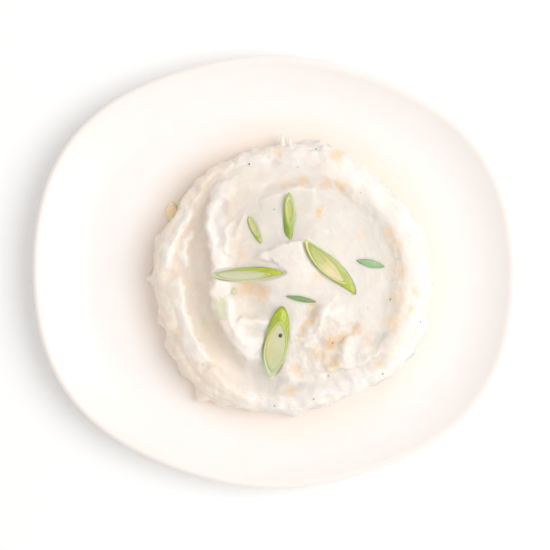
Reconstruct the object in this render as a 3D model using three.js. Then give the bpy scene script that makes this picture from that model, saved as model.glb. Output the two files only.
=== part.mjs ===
// A serving of mashed potato, swirled with the back of a spoon, on a shallow egg-shaped stoneware plate.
// Seven bias-cut slices of spring onion lie on it. Units are millimetres, +Z is up and +X runs along the
// plate's length. The origin is the middle of the plate's foot, on the table.
import * as THREE from "three";

// Driving dimensions.
const PLATE_RADIUS = 97.8; // the outline's mean radius
const PLATE_HEIGHT = 16;
const FLOOR_TOP = 6.5; // the flat floor that the food lies on
const PLATE_WALL = 4.2;
const FOOT_RECESS = 1.6; // how far the underside is hollowed inside the foot ring
const MASH_RADIUS = 58.4; // the mound's mean radius
const MASH_HEIGHT = 31; // the size that the swirl's rises are shares of
const MASH_MIDDLE = new THREE.Vector2(6.5, -3.4); // the mound sits a little off the plate's middle
const SLICE_THICKNESS = 2.2; // how thick the onion was sliced, square to the cut
const ONION_WALL = 1.1; // the thickness of the onion's tube
const GAP = 0.3; // clearance between touching pieces

// Mesh fineness.
const PLATE_SEGMENTS = 72;
const MASH_SEGMENTS = 92;
const MASH_RINGS = 28;
const RING_SPREAD = 0.9; // below 1, the rings crowd towards the mound's edge
const SLICE_SEGMENTS = 28;

// An outline is a circle with a few waves on it: [waves in a turn, height as a share of the radius, phase in
// degrees].
const PLATE_WAVES = [
  [2, 0.0646, -3.4],
  [4, 0.0113, -44.2],
  [6, 0.0098, 28.3],
];
const MASH_WAVES = [
  [1, 0.0105, -19],
  [2, 0.024, 14],
  [3, 0.019, -16],
  [4, 0.015, -25],
  [5, 0.01, 15],
  [7, 0.012, 21],
];

// Folds that the spoon left. Each runs anticlockwise on a smooth line through a few points, in shares of the
// mound's radius from its middle. It stands up by its rise, or is scooped out where that is below 0, as a
// share of the mound's height. width: how far it spreads towards the middle and away from it. ridge: 0 for a
// round back, 1 for a crest.
const FOLDS = [
  {
    name: "channel",
    path: [
      [-0.4, 0.8], [-0.63, 0.5], [-0.71, 0.1], [-0.67, -0.22], [-0.47, -0.52], [-0.25, -0.7], [-0.03, -0.76],
    ],
    rise: -0.13, width: [0.09, 0.12], ridge: 0,
  },
  {
    name: "outer lip, back",
    path: [[-0.1, 0.92], [-0.4, 0.84], [-0.6, 0.7], [-0.73, 0.5]],
    rise: 0.05, width: [0.08, 0.06], ridge: 0.6,
  },
  {
    name: "outer lip, left",
    path: [[-0.7, 0.52], [-0.8, 0.38], [-0.86, 0.25], [-0.885, 0.06]],
    rise: 0.1, width: [0.04, 0.07], ridge: 0.6,
  },
  {
    name: "outer lip, front left",
    path: [[-0.82, 0.06], [-0.78, -0.15], [-0.735, -0.38], [-0.57, -0.62]],
    rise: 0.1, width: [0.04, 0.09], ridge: 0.6,
  },
  {
    name: "outer lip, front",
    path: [[-0.6, -0.6], [-0.5, -0.73], [-0.33, -0.85], [-0.05, -0.9]],
    rise: 0.05, width: [0.05, 0.08], ridge: 0.6,
  },
  {
    name: "inner lip",
    path: [
      [-0.22, 0.77], [-0.48, 0.66], [-0.58, 0.45], [-0.545, 0.15], [-0.54, -0.1], [-0.43, -0.35],
      [-0.2, -0.57],
    ],
    rise: 0.14, width: [0.15, 0.04], ridge: 0.6,
  },
  {
    name: "front left ridge",
    path: [[-0.44, -0.1], [-0.385, -0.28], [-0.26, -0.46]],
    rise: 0.06, width: [0.04, 0.04], ridge: 0.6,
  },
  {
    name: "ring",
    path: [[0.47, -0.6], [0.73, -0.42], [0.825, 0.0], [0.75, 0.34], [0.56, 0.57], [0.3, 0.74], [-0.15, 0.8]],
    rise: 0.14, width: [0.06, 0.12], ridge: 0.6,
  },
  {
    name: "ring, front",
    path: [[-0.1, -0.7], [0.1, -0.74], [0.3, -0.72], [0.5, -0.64]],
    rise: 0.08, width: [0.05, 0.12], ridge: 0.6,
  },
  {
    name: "back groove",
    path: [[0.46, 0.6], [0.3, 0.68], [0.1, 0.71], [-0.1, 0.68], [-0.26, 0.6]],
    rise: -0.05, width: [0.04, 0.045], ridge: 0,
  },
  {
    name: "curled fold",
    path: [[0.14, 0.265], [0.01, 0.24], [-0.1, 0.215], [-0.18, 0.14]],
    rise: 0.07, width: [0.1, 0.035], ridge: 0.6,
  },
  {
    name: "left finger",
    path: [[-0.17, -0.31], [-0.24, -0.285], [-0.335, -0.27]],
    rise: 0.06, width: [0.035, 0.035], ridge: 0.6,
  },
  {
    name: "middle cleft",
    path: [[0.06, -0.39], [0.14, -0.28], [0.175, -0.17]],
    rise: -0.09, width: [0.035, 0.035], ridge: 0,
  },
  {
    name: "right cleft",
    path: [[0.19, -0.455], [0.3, -0.45], [0.38, -0.395], [0.49, -0.315]],
    rise: -0.075, width: [0.035, 0.035], ridge: 0,
  },
  {
    name: "front cleft",
    path: [[0.2, -0.62], [0.31, -0.55], [0.335, -0.45]],
    rise: -0.06, width: [0.04, 0.035], ridge: 0,
  },
];
const HEAP_SHARE = 0.8; // how high the plain heap stands, as a share of the mound's height
const WALL_SHARE = 0.5; // how much of the plain heap's height is its steep side wall
const WALL_STEEPNESS = 30;
const EDGE_SHARE = 0.03; // the share of the radius over which the edge comes down to the plate
const EDGE_ROUNDNESS = 0.4; // below 1, the shoulder above the edge bulges
const CREST_NARROWNESS = 1.3; // how much narrower a crest is than a round back
const CREST_TOP = 0.2; // how round a crest's top is
const FOLD_STEPS = 6; // straight steps between two points of a fold's line
const FOLD_FADE = 0.16; // the share of its length over which a fold rises, and over which it dies away

// Dabs of the spoon's tip: humps and hollows at a place on the mound, with their half sizes and the way they
// lie.
const DABS = [
  { name: "right lean", at: [0.95, 0], size: [0.75, 1], turn: 0, rise: 0.04 },
  { name: "right hollow", at: [0.52, 0.16], size: [0.26, 0.4], turn: 10, rise: -0.1 },
  { name: "middle hump", at: [0.03, 0.06], size: [0.24, 0.17], turn: 24, rise: 0.09 },
  { name: "dip behind the fold", at: [-0.06, 0.33], size: [0.18, 0.07], turn: 18, rise: -0.05 },
  { name: "left pocket", at: [-0.3, 0.05], size: [0.12, 0.07], turn: 0, rise: -0.05 },
  { name: "orange hollow", at: [-0.29, -0.06], size: [0.13, 0.06], turn: 0, rise: -0.06 },
  { name: "left hollow", at: [-0.23, -0.2], size: [0.11, 0.07], turn: -10, rise: -0.08 },
  { name: "lump by the cleft", at: [0.22, -0.25], size: [0.045, 0.08], turn: -10, rise: 0.07 },
  { name: "bright lump", at: [0.4, -0.51], size: [0.05, 0.11], turn: -15, rise: 0.1 },
  { name: "front pan", at: [0.15, -0.54], size: [0.13, 0.07], turn: 10, rise: -0.08 },
  { name: "right pan", at: [0.61, -0.42], size: [0.1, 0.055], turn: 20, rise: -0.07 },
  { name: "far right pan", at: [0.66, -0.19], size: [0.06, 0.11], turn: 0, rise: -0.03 },
  { name: "front lump", at: [-0.03, -0.66], size: [0.06, 0.06], turn: 0, rise: 0.06 },
  { name: "front right lump", at: [0.56, -0.7], size: [0.1, 0.07], turn: 30, rise: 0.04 },
];

// The onion slices: place on the mound and half sizes in millimetres, and the turn of the long axis in
// degrees. An open slice is a ring cut aslant through the hollow leaf. The others are slivers of its wall.
const SLICES = [
  { at: [-0.5, 26.2], half: [10.4, 2.45], turn: 91, open: true },
  { at: [-14.7, 20.8], half: [6.3, 1.4], turn: -65, open: true },
  { at: [-17.5, 2.7], half: [16.3, 2.85], turn: 1, open: true },
  { at: [16.1, 5.4], half: [16, 4.5], turn: -47, open: true },
  { at: [33.2, 6.8], half: [6.2, 1.65], turn: -12, open: false },
  { at: [4.5, -7.7], half: [6.6, 1.2], turn: -11, open: false },
  { at: [-5.8, -25.3], half: [15.5, 4.6], turn: 80, open: true },
];
const SEAT_MARGIN = 3; // the flat bed of a slice reaches this far past its edge
const SEAT_BLEND = 4; // and blends into the swirl over this distance
const STEEPEST_SEAT = 0.3; // slope of the bed
const SEAT_ENDS = 0.7; // where along its half length a slice rests on the swirl
const SEAT_SIDE = 1; // and how far past its side

const PLATE_COLOUR = 0xfdf9f2;
const MASH_COLOUR = 0xf8efdf;
const OPEN_SLICE_COLOUR = 0xb4cc5c;
const SLIVER_COLOUR = 0x86a870;

const { lerp, smoothstep, degToRad } = THREE.MathUtils;

function outlineShare(waves, angle) {
  const wave = ([count, height, phase]) => height * Math.cos(count * (angle - degToRad(phase)));
  return waves.reduce((share, shape) => share + wave(shape), 1);
}

// ---- Closed skins ----------------------------------------------------------------------------------------

// Triangles between two rings of the same count, which run anticlockwise seen from the side the skin faces.
function stitchRings(faces, inner, outer, count) {
  for (let i = 0; i < count; i++) {
    const next = (i + 1) % count;
    faces.push(inner + i, outer + i, outer + next);
    faces.push(inner + i, outer + next, inner + next);
  }
}

function geometryOf(points, faces) {
  const geometry = new THREE.BufferGeometry().setFromPoints(points);
  geometry.setIndex(faces);
  geometry.computeVertexNormals();
  return geometry;
}

// A skin from a top point, out and down over the rings, to a bottom point.
function skinBetweenPoles(top, rings, bottom) {
  const count = rings[0].length;
  const points = [top, ...rings.flat(), bottom];
  const faces = [];
  const firstOf = (ring) => 1 + ring * count;
  for (let i = 0; i < count; i++) {
    const next = (i + 1) % count;
    faces.push(0, firstOf(0) + i, firstOf(0) + next);
    faces.push(points.length - 1, firstOf(rings.length - 1) + next, firstOf(rings.length - 1) + i);
  }
  for (let ring = 0; ring + 1 < rings.length; ring++) {
    stitchRings(faces, firstOf(ring), firstOf(ring + 1), count);
  }
  return geometryOf(points, faces);
}

// A skin round a hole: the rings go out over the top, down and back in underneath, and the last joins the
// first.
function skinRoundHole(rings) {
  const count = rings[0].length;
  const faces = [];
  rings.forEach((_, ring) => {
    const nextRing = (ring + 1) % rings.length;
    stitchRings(faces, ring * count, nextRing * count, count);
  });
  return geometryOf(rings.flat(), faces);
}

function namedMesh(name, geometry, colour, roughness) {
  const material = new THREE.MeshStandardMaterial({ color: colour, roughness, metalness: 0 });
  const mesh = new THREE.Mesh(geometry, material);
  mesh.name = name;
  return mesh;
}

// ---- Plate -----------------------------------------------------------------------------------------------

const FLOOR_SHARE = 0.74; // where the floor starts to turn up, as a share of the outline
const LIP_RADIUS = PLATE_WALL / 2;
const FOOT_OUTER = 0.67;
const FOOT_INNER = 0.61;
const FOOT_HEIGHT = 1.2;
const FOOT_SPREAD = 1.5; // how far the foot ring widens up to the underside
const FOOT_SLOPE = 2; // how far its inner side leans in
const FIRST_RING = 0.5; // where the floor's own ring lies, as a share of the floor
const RIM_STEPS = 6;
const LIP_STEPS = 4;
const UNDERSIDE_STEPS = 3;
const LIP_TURN = [75, -60]; // degrees: where the rounded lip starts and ends
const RIM_INSET = LIP_RADIUS * 1.6; // how far the upper face stays inside the outline at the lip
const RIM_BEND = 1.9; // 1 would be a straight cone
const LIP_DROP = LIP_RADIUS * 0.4; // how far below the plate's top the upper face meets the lip

// The height of the turned-up rim's upper face, at a share of the way from the floor to the lip.
function rimHeight(along) {
  return lerp(FLOOR_TOP, PLATE_HEIGHT - LIP_DROP, along ** RIM_BEND);
}

// The plate's section as [share of the outline, inset in millimetres, height], from the floor over the lip to
// the foot.
function plateSection() {
  const section = [[FLOOR_SHARE * FIRST_RING, 0, FLOOR_TOP]];
  for (let step = 0; step <= RIM_STEPS; step++) {
    const along = step / RIM_STEPS;
    section.push([lerp(FLOOR_SHARE, 1, along), RIM_INSET * along, rimHeight(along)]);
  }
  const lipHeight = PLATE_HEIGHT - LIP_RADIUS;
  for (let step = 1; step <= LIP_STEPS; step++) {
    const turn = degToRad(lerp(...LIP_TURN, (step - 1) / (LIP_STEPS - 1)));
    section.push([1, LIP_RADIUS * (1 - Math.cos(turn)), lipHeight + LIP_RADIUS * Math.sin(turn)]);
  }
  for (let step = 1; step <= UNDERSIDE_STEPS; step++) {
    const along = 1 - step / (UNDERSIDE_STEPS + 1);
    section.push([lerp(FLOOR_SHARE, 1, along), RIM_INSET * along, rimHeight(along) - PLATE_WALL]);
  }
  section.push([FOOT_OUTER, -FOOT_SPREAD, FOOT_HEIGHT], [FOOT_OUTER, 0, 0]);
  section.push([FOOT_INNER, 0, 0], [FOOT_INNER, FOOT_SLOPE, FOOT_RECESS]);
  return section;
}

function plateRing([share, inset, height]) {
  return Array.from({ length: PLATE_SEGMENTS }, (_, i) => {
    const angle = (i / PLATE_SEGMENTS) * 2 * Math.PI;
    const radius = PLATE_RADIUS * outlineShare(PLATE_WAVES, angle) * share - inset;
    return new THREE.Vector3(radius * Math.cos(angle), radius * Math.sin(angle), height);
  });
}

function plate() {
  const top = new THREE.Vector3(0, 0, FLOOR_TOP);
  const bottom = new THREE.Vector3(0, 0, FOOT_RECESS);
  const skin = skinBetweenPoles(top, plateSection().map(plateRing), bottom);
  return namedMesh("plate", skin, PLATE_COLOUR, 0.35);
}

// ---- Mashed potato ---------------------------------------------------------------------------------------

const foldLine = ({ path }) =>
  new THREE.SplineCurve(path.map((point) => new THREE.Vector2(...point))).getPoints(
    FOLD_STEPS * (path.length - 1),
  );
const FOLD_LINES = FOLDS.map(foldLine);

// Where a point lies from a fold's line: how far off, on which side, and how far along it from 0 to 1.
function nearestOn(line, point) {
  let nearest = { distance: Infinity };
  for (let i = 0; i + 1 < line.length; i++) {
    const step = line[i + 1].clone().sub(line[i]);
    const offset = point.clone().sub(line[i]);
    const share = THREE.MathUtils.clamp(offset.dot(step) / step.lengthSq(), 0, 1);
    const distance = offset.addScaledVector(step, -share).length();
    if (distance >= nearest.distance) continue;
    nearest = { distance, inside: step.cross(offset) > 0, along: (i + share) / (line.length - 1) };
  }
  return nearest;
}

// What a fold adds at a point.
function foldRise(fold, line, point) {
  const { distance, inside, along } = nearestOn(line, point);
  const spread = distance / fold.width[inside ? 0 : 1];
  const round = Math.exp(-(spread ** 2));
  const sharp = Math.exp(CREST_TOP - Math.hypot(CREST_NARROWNESS * spread, CREST_TOP));
  const fade = smoothstep(along, 0, FOLD_FADE) * smoothstep(1 - along, 0, FOLD_FADE);
  return fold.rise * fade * lerp(round, sharp, fold.ridge);
}

function dabRise(dab, x, y) {
  const offset = new THREE.Vector2(x - dab.at[0], y - dab.at[1]);
  offset.rotateAround(new THREE.Vector2(), -degToRad(dab.turn));
  return dab.rise * Math.exp(-((offset.x / dab.size[0]) ** 2) - (offset.y / dab.size[1]) ** 2);
}

// The height of the heap before the spoon touched it, as a share, at a share of the way out to its edge.
function plainDome(outward) {
  const wall = Math.sqrt(1 - outward ** WALL_STEEPNESS);
  const heap = 1 - outward ** 2;
  return HEAP_SHARE * lerp(heap, wall, WALL_SHARE);
}

// The swirled top's height above the floor at a point measured from the mound's middle, before anything lies
// on it.
function swirlHeight(x, y) {
  const point = new THREE.Vector2(x, y).divideScalar(MASH_RADIUS);
  const outward = Math.min(point.length() / outlineShare(MASH_WAVES, Math.atan2(y, x)), 1);
  let height = plainDome(outward);
  FOLDS.forEach((fold, i) => {
    height += foldRise(fold, FOLD_LINES[i], point);
  });
  for (const dab of DABS) height += dabRise(dab, point.x, point.y);
  return MASH_HEIGHT * height * smoothstep(1 - outward, 0, EDGE_SHARE) ** EDGE_ROUNDNESS;
}

// The flat bed of a slice: the plane through the swirl's height near the slice's ends and sides.
function bedOf(slice) {
  const along = new THREE.Vector2(Math.cos(degToRad(slice.turn)), Math.sin(degToRad(slice.turn)));
  const across = new THREE.Vector2(-along.y, along.x);
  const heightAt = (direction, distance) =>
    swirlHeight(slice.at[0] + direction.x * distance, slice.at[1] + direction.y * distance);
  const slope = (direction, reach) =>
    THREE.MathUtils.clamp(
      (heightAt(direction, reach) - heightAt(direction, -reach)) / (2 * reach),
      -STEEPEST_SEAT,
      STEEPEST_SEAT,
    );
  const ends = SEAT_ENDS * slice.half[0];
  const sides = slice.half[1] + SEAT_SIDE;
  const samples = [
    heightAt(along, 0),
    heightAt(along, ends),
    heightAt(along, -ends),
    heightAt(across, sides),
    heightAt(across, -sides),
  ];
  const height = samples.reduce((sum, sample) => sum + sample, 0) / samples.length;
  return { along, across, height, slopeAlong: slope(along, ends), slopeAcross: slope(across, sides) };
}

const BEDS = SLICES.map(bedOf);

// How far a point lies beyond a slice's edge, and the height of the slice's bed there.
function bedAt(slice, bed, x, y) {
  const offset = new THREE.Vector2(x - slice.at[0], y - slice.at[1]);
  const lengthwise = offset.dot(bed.along);
  const crosswise = offset.dot(bed.across);
  const pastEnd = Math.max(Math.abs(lengthwise) - slice.half[0], 0);
  const pastSide = Math.max(Math.abs(crosswise) - slice.half[1], 0);
  const height = bed.height + bed.slopeAlong * lengthwise + bed.slopeAcross * crosswise;
  return { beyond: Math.hypot(pastEnd, pastSide), height };
}

// The mound's height above the floor, with the slices' beds pressed into the swirl. Where two beds meet, the
// lower one wins.
function mashHeight(x, y) {
  const beds = SLICES.map((slice, i) => bedAt(slice, BEDS[i], x, y));
  let height = swirlHeight(x, y);
  for (const bed of beds) {
    height = lerp(height, bed.height, 1 - smoothstep(bed.beyond, SEAT_MARGIN, SEAT_MARGIN + SEAT_BLEND));
  }
  return Math.min(height, ...beds.filter((bed) => bed.beyond < SEAT_MARGIN).map((bed) => bed.height));
}

// A ring of the mound's upper skin, at a share of its outline.
function mashRing(share) {
  return Array.from({ length: MASH_SEGMENTS }, (_, i) => {
    const angle = (i / MASH_SEGMENTS) * 2 * Math.PI;
    const radius = MASH_RADIUS * outlineShare(MASH_WAVES, angle) * share;
    const x = radius * Math.cos(angle);
    const y = radius * Math.sin(angle);
    return new THREE.Vector3(x, y, mashHeight(x, y));
  });
}

function mash() {
  const shareOf = (ring) => ((ring + 1) / MASH_RINGS) ** RING_SPREAD;
  const rings = Array.from({ length: MASH_RINGS }, (_, ring) => mashRing(shareOf(ring)));
  const top = new THREE.Vector3(0, 0, mashHeight(0, 0));
  const mound = namedMesh("mash", skinBetweenPoles(top, rings, new THREE.Vector3()), MASH_COLOUR, 0.6);
  mound.position.set(MASH_MIDDLE.x, MASH_MIDDLE.y, FLOOR_TOP + GAP);
  return mound;
}

// ---- Spring onion slices ---------------------------------------------------------------------------------

const POINTEDNESS = 0.25; // 0 would be a plain ellipse
const OPEN_LEAN = 0.12; // how far an open slice's faces are shifted, as a share of its half length
const SIDE_WALL = ONION_WALL * 0.85; // the wall's width beside the hollow
const TIP_WALL = ONION_WALL * 0.6; // and at a tip of the hollow, before the slant stretches it
const SLIVER_TAPER = [0.9, 0.6]; // a sliver's faces, as shares of its half length and half width

// A pointed ring like the section of a flattened tube: half length, half width, height, and a shift along the
// length.
function lensRing(halfLength, halfWidth, height, shift = 0) {
  return Array.from({ length: SLICE_SEGMENTS }, (_, i) => {
    const angle = (i / SLICE_SEGMENTS) * 2 * Math.PI;
    const pointed = Math.sin(angle) * Math.abs(Math.sin(angle)) ** POINTEDNESS;
    return new THREE.Vector3(shift + halfLength * Math.cos(angle), halfWidth * pointed, height);
  });
}

// The tube leans along the slice, because the knife went through it aslant, so the upper face is shifted.
function openSlice([halfLength, halfWidth]) {
  const lean = OPEN_LEAN * halfLength;
  const wallAtTip = (TIP_WALL * halfLength) / halfWidth;
  const hole = [halfLength - lean - wallAtTip, halfWidth - SIDE_WALL];
  const rim = [halfLength - lean, halfWidth];
  return skinRoundHole([
    lensRing(...hole, SLICE_THICKNESS, lean),
    lensRing(...rim, SLICE_THICKNESS, lean),
    lensRing(...rim, 0, -lean),
    lensRing(...hole, 0, -lean),
  ]);
}

function sliver([halfLength, halfWidth]) {
  const face = [halfLength * SLIVER_TAPER[0], halfWidth * SLIVER_TAPER[1]];
  const rings = [
    lensRing(...face, ONION_WALL),
    lensRing(halfLength, halfWidth, ONION_WALL / 2),
    lensRing(...face, 0),
  ];
  return skinBetweenPoles(new THREE.Vector3(0, 0, ONION_WALL), rings, new THREE.Vector3());
}

function springOnion(slice, i) {
  const bed = BEDS[i];
  const shape = slice.open ? openSlice(slice.half) : sliver(slice.half);
  const colour = slice.open ? OPEN_SLICE_COLOUR : SLIVER_COLOUR;
  const mesh = namedMesh(`spring_onion_${i + 1}`, shape, colour, 0.4);
  const lengthwise = new THREE.Vector3(bed.along.x, bed.along.y, bed.slopeAlong).normalize();
  const crosswise = new THREE.Vector3(bed.across.x, bed.across.y, bed.slopeAcross);
  const upward = lengthwise.clone().cross(crosswise).normalize();
  const sideways = upward.clone().cross(lengthwise);
  mesh.quaternion.setFromRotationMatrix(new THREE.Matrix4().makeBasis(lengthwise, sideways, upward));
  mesh.position
    .set(MASH_MIDDLE.x + slice.at[0], MASH_MIDDLE.y + slice.at[1], FLOOR_TOP + GAP + bed.height)
    .addScaledVector(upward, GAP);
  return mesh;
}

const platedMash = new THREE.Group();
platedMash.add(plate(), mash(), ...SLICES.map(springOnion));

export default platedMash;
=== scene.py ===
# %% [markdown]
# # A swirl of mashed potato on its plate
#
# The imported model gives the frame: where the plate, the mound and the seven onion slices are, and how big.
# Everything here is in metres in that same frame, with +Z up and the table at zero. Each CAD solid is
# replaced by a finer piece that keeps its place and size, and the small things that the CAD leaves out are
# added.

# %% Load the frame
import math

import bpy
import numpy as np
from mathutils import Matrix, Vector, noise


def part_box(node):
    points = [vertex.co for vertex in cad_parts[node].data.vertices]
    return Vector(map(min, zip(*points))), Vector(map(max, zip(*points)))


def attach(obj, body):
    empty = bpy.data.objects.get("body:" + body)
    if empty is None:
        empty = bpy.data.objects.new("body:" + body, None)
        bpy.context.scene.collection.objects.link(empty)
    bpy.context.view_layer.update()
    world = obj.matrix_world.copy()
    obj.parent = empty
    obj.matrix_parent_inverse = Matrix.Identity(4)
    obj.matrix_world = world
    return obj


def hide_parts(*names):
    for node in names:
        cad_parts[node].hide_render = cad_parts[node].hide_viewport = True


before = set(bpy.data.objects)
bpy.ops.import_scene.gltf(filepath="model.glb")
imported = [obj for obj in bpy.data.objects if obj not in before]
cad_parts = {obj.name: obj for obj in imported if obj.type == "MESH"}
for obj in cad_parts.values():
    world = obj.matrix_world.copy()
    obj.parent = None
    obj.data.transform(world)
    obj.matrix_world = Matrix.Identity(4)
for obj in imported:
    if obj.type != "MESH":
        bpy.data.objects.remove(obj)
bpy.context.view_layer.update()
MM = 0.001

plate_low, plate_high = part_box("plate")
mash_low, mash_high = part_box("mash")
print("plate", [round(s / MM, 1) for s in plate_high - plate_low], "mm")
print("mash", [round(s / MM, 1) for s in mash_high - mash_low], "mm")

# %% [markdown]
# ## Camera and light
#
# The serving is seen from straight above, so the camera looks down its own -Z axis and needs no turning. A
# long lens keeps the mound's sides from showing too much. Light comes from one big soft window on the
# right, a good way up, and a white room fills the shadows: that is a uniform world, and a large disc for
# the window.

# %% Camera
LENS = 100.0  # in millimetres, as the sensor is
SENSOR = 36.0
VIEW_WIDTH = 231.3 * MM  # how much the view takes in at the height of the plate's rim
VIEW_OFFSET = Vector((0.2 * MM, -1.3 * MM, 0))  # where the view's middle lies from the plate's

camera = bpy.data.objects.new("camera", bpy.data.cameras.new("camera"))
camera.data.lens = LENS
camera.data.sensor_width = SENSOR
camera_height = plate_high.z + VIEW_WIDTH * LENS / SENSOR
camera.location = VIEW_OFFSET + Vector((0, 0, camera_height))
bpy.context.scene.collection.objects.link(camera)
bpy.context.scene.camera = camera
print("camera", round(camera_height / MM), "mm above the table")

# %% Light
WINDOW_AZIMUTH = math.radians(3)
WINDOW_ELEVATION = math.radians(52)
WINDOW_DISTANCE = 1.3
WINDOW_SIZE = 1.05
WINDOW_POWER = 8.9
WINDOW_COLOUR = (1.0, 1.0, 0.99)
ROOM_STRENGTH = 0.73
ROOM_COLOUR = (1.0, 0.985, 0.97, 1.0)


def direction(azimuth, elevation):
    """The way towards a light, from its angle round the table and above it."""
    flat = math.cos(elevation)
    return Vector((flat * math.cos(azimuth), flat * math.sin(azimuth), math.sin(elevation)))


window = bpy.data.objects.new("window", bpy.data.lights.new("window", "AREA"))
window.data.shape = "DISK"
window.data.size = WINDOW_SIZE
window.data.energy = WINDOW_POWER
window.data.color = WINDOW_COLOUR
towards_window = direction(WINDOW_AZIMUTH, WINDOW_ELEVATION)
window.location = towards_window * WINDOW_DISTANCE
window.rotation_euler = towards_window.to_track_quat("Z", "Y").to_euler()
bpy.context.scene.collection.objects.link(window)

room = bpy.data.worlds.new("white room")
room.use_nodes = True
room_light = room.node_tree.nodes["Background"].inputs
room_light["Color"].default_value = ROOM_COLOUR
room_light["Strength"].default_value = ROOM_STRENGTH
bpy.context.scene.world = room
bpy.context.scene.view_settings.view_transform = "Standard"
print("window", [round(x, 2) for x in window.location], "m from the plate's middle")

# %% [markdown]
# ## Helpers for nodes and colours
#
# Both the materials and the Geometry Nodes trees are built with one small function. It adds a node, sets
# what it is told and joins its inputs: a value goes on the socket itself, and another node's output becomes
# a link. Colours are written as the hex values that a painter reads off a chart, and one function turns
# them into linear light.


# %% Add a node
def add(tree, kind, inputs=None, **settings):
    """A new node with its settings. An input is a value, a socket, or a node (its first output)."""
    made = tree.nodes.new(kind)
    for name, value in settings.items():
        setattr(made, name, value)
    for socket, value in (inputs or {}).items():
        if isinstance(value, bpy.types.Node):
            value = value.outputs[0]
        if isinstance(value, bpy.types.NodeSocket):
            tree.links.new(value, made.inputs[socket])
        else:
            made.inputs[socket].default_value = value
    return made


# %% Turn a hex colour into linear light
def linear(hex_colour):
    """An sRGB hex colour as linear red, green, blue and alpha."""
    shares = [int(hex_colour[i : i + 2], 16) / 255 for i in (1, 3, 5)]
    return [s / 12.92 if s <= 0.04045 else ((s + 0.055) / 1.055) ** 2.4 for s in shares] + [1.0]


print("cream", [round(c, 3) for c in linear("#FBF3E4")[:3]])


# %% Start a material
def new_material(name):
    """A material with an empty Principled BSDF: the tree, and that shader."""
    material = bpy.data.materials.new(name)
    material.use_nodes = True
    tree = material.node_tree
    print("material", name)
    return material, tree, tree.nodes["Principled BSDF"]


# %% Start a Geometry Nodes tree
def new_tree(name, sockets):
    """A tree that takes and gives geometry, with named inputs of the kinds given, and the inputs to read."""
    tree = bpy.data.node_groups.new(name, "GeometryNodeTree")
    for way in ("INPUT", "OUTPUT"):
        tree.interface.new_socket("Geometry", in_out=way, socket_type="NodeSocketGeometry")
    for socket, kind in sockets.items():
        tree.interface.new_socket(socket, in_out="INPUT", socket_type=f"NodeSocket{kind}")
    return tree, add(tree, "NodeGroupInput").outputs


# %% [markdown]
# ## Floor
#
# The table is plain white, so a flat sheet under the plate is enough. It isn't part of the object.

# %% Floor
FLOOR_HALF = 1.5

floor_mesh = bpy.data.meshes.new("floor")
corners = [(-FLOOR_HALF, -FLOOR_HALF, 0), (FLOOR_HALF, -FLOOR_HALF, 0)]
corners += [(FLOOR_HALF, FLOOR_HALF, 0), (-FLOOR_HALF, FLOOR_HALF, 0)]
floor_mesh.from_pydata(corners, [], [(0, 1, 2, 3)])
floor = bpy.data.objects.new("floor", floor_mesh)
bpy.context.scene.collection.objects.link(floor)
white_paper, _, paper = new_material("matt white paper")
paper.inputs["Base Color"].default_value = linear("#FDFDFD")
paper.inputs["Roughness"].default_value = 0.9
floor_mesh.materials.append(white_paper)
print("floor", 2 * FLOOR_HALF, "m across")

# %% [markdown]
# ## Plate
#
# A shallow stoneware plate, pressed over a mould with an egg-shaped outline and dipped in a cream glaze.
# Any line from its middle outwards has the same section, stretched to reach the outline: flat floor, a rim
# that turns up gently, a rounded lip, and a foot ring underneath. That is a rule, so Geometry Nodes make
# it. The section is a chain of points, and the tree carries it round the outline's formula.

# %% The plate's section
PLATE_RADIUS = 97.8 * MM  # the outline's mean
PLATE_WALL = 4.2 * MM
PLATE_FLOOR = 6.5 * MM
FLOOR_SHARE = 0.74  # where the floor starts to turn up, as a share of the outline
FOOT_OUTER = 0.67
FOOT_INNER = 0.61
FOOT_RECESS = 1.6 * MM
FOOT_ROUND = 0.5 * MM
FOOT_FLARE = 1.5 * MM  # how far the foot's outer side spreads where it meets the plate
FOOT_HEIGHT = 1.2 * MM
FOOT_LEAN = 2 * MM
LIP_ABOVE_RIM = 0.2  # as a share of the wall
LIP_INSET = 1.6  # as a share of the lip's radius
RIM_CURVE = 1.9  # above 1, so the rim starts gently and gets steeper
# The outline's waves: how many in a turn, height as a share of the radius, and turn in degrees.
PLATE_WAVES = ((2, 0.0646, -3.4), (4, 0.0113, -44.2), (6, 0.0098, 28.3))


def rim_point(along, under=0.0):
    """A point of the rim's upper face, or under it, a share of the way from the floor's edge to the lip."""
    out = FLOOR_SHARE + (1 - FLOOR_SHARE) * along
    height = PLATE_FLOOR + (plate_high.z - PLATE_WALL * LIP_ABOVE_RIM - PLATE_FLOOR) * along**RIM_CURVE
    return PLATE_RADIUS * out, PLATE_WALL / 2 * LIP_INSET * along, height - under


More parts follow.
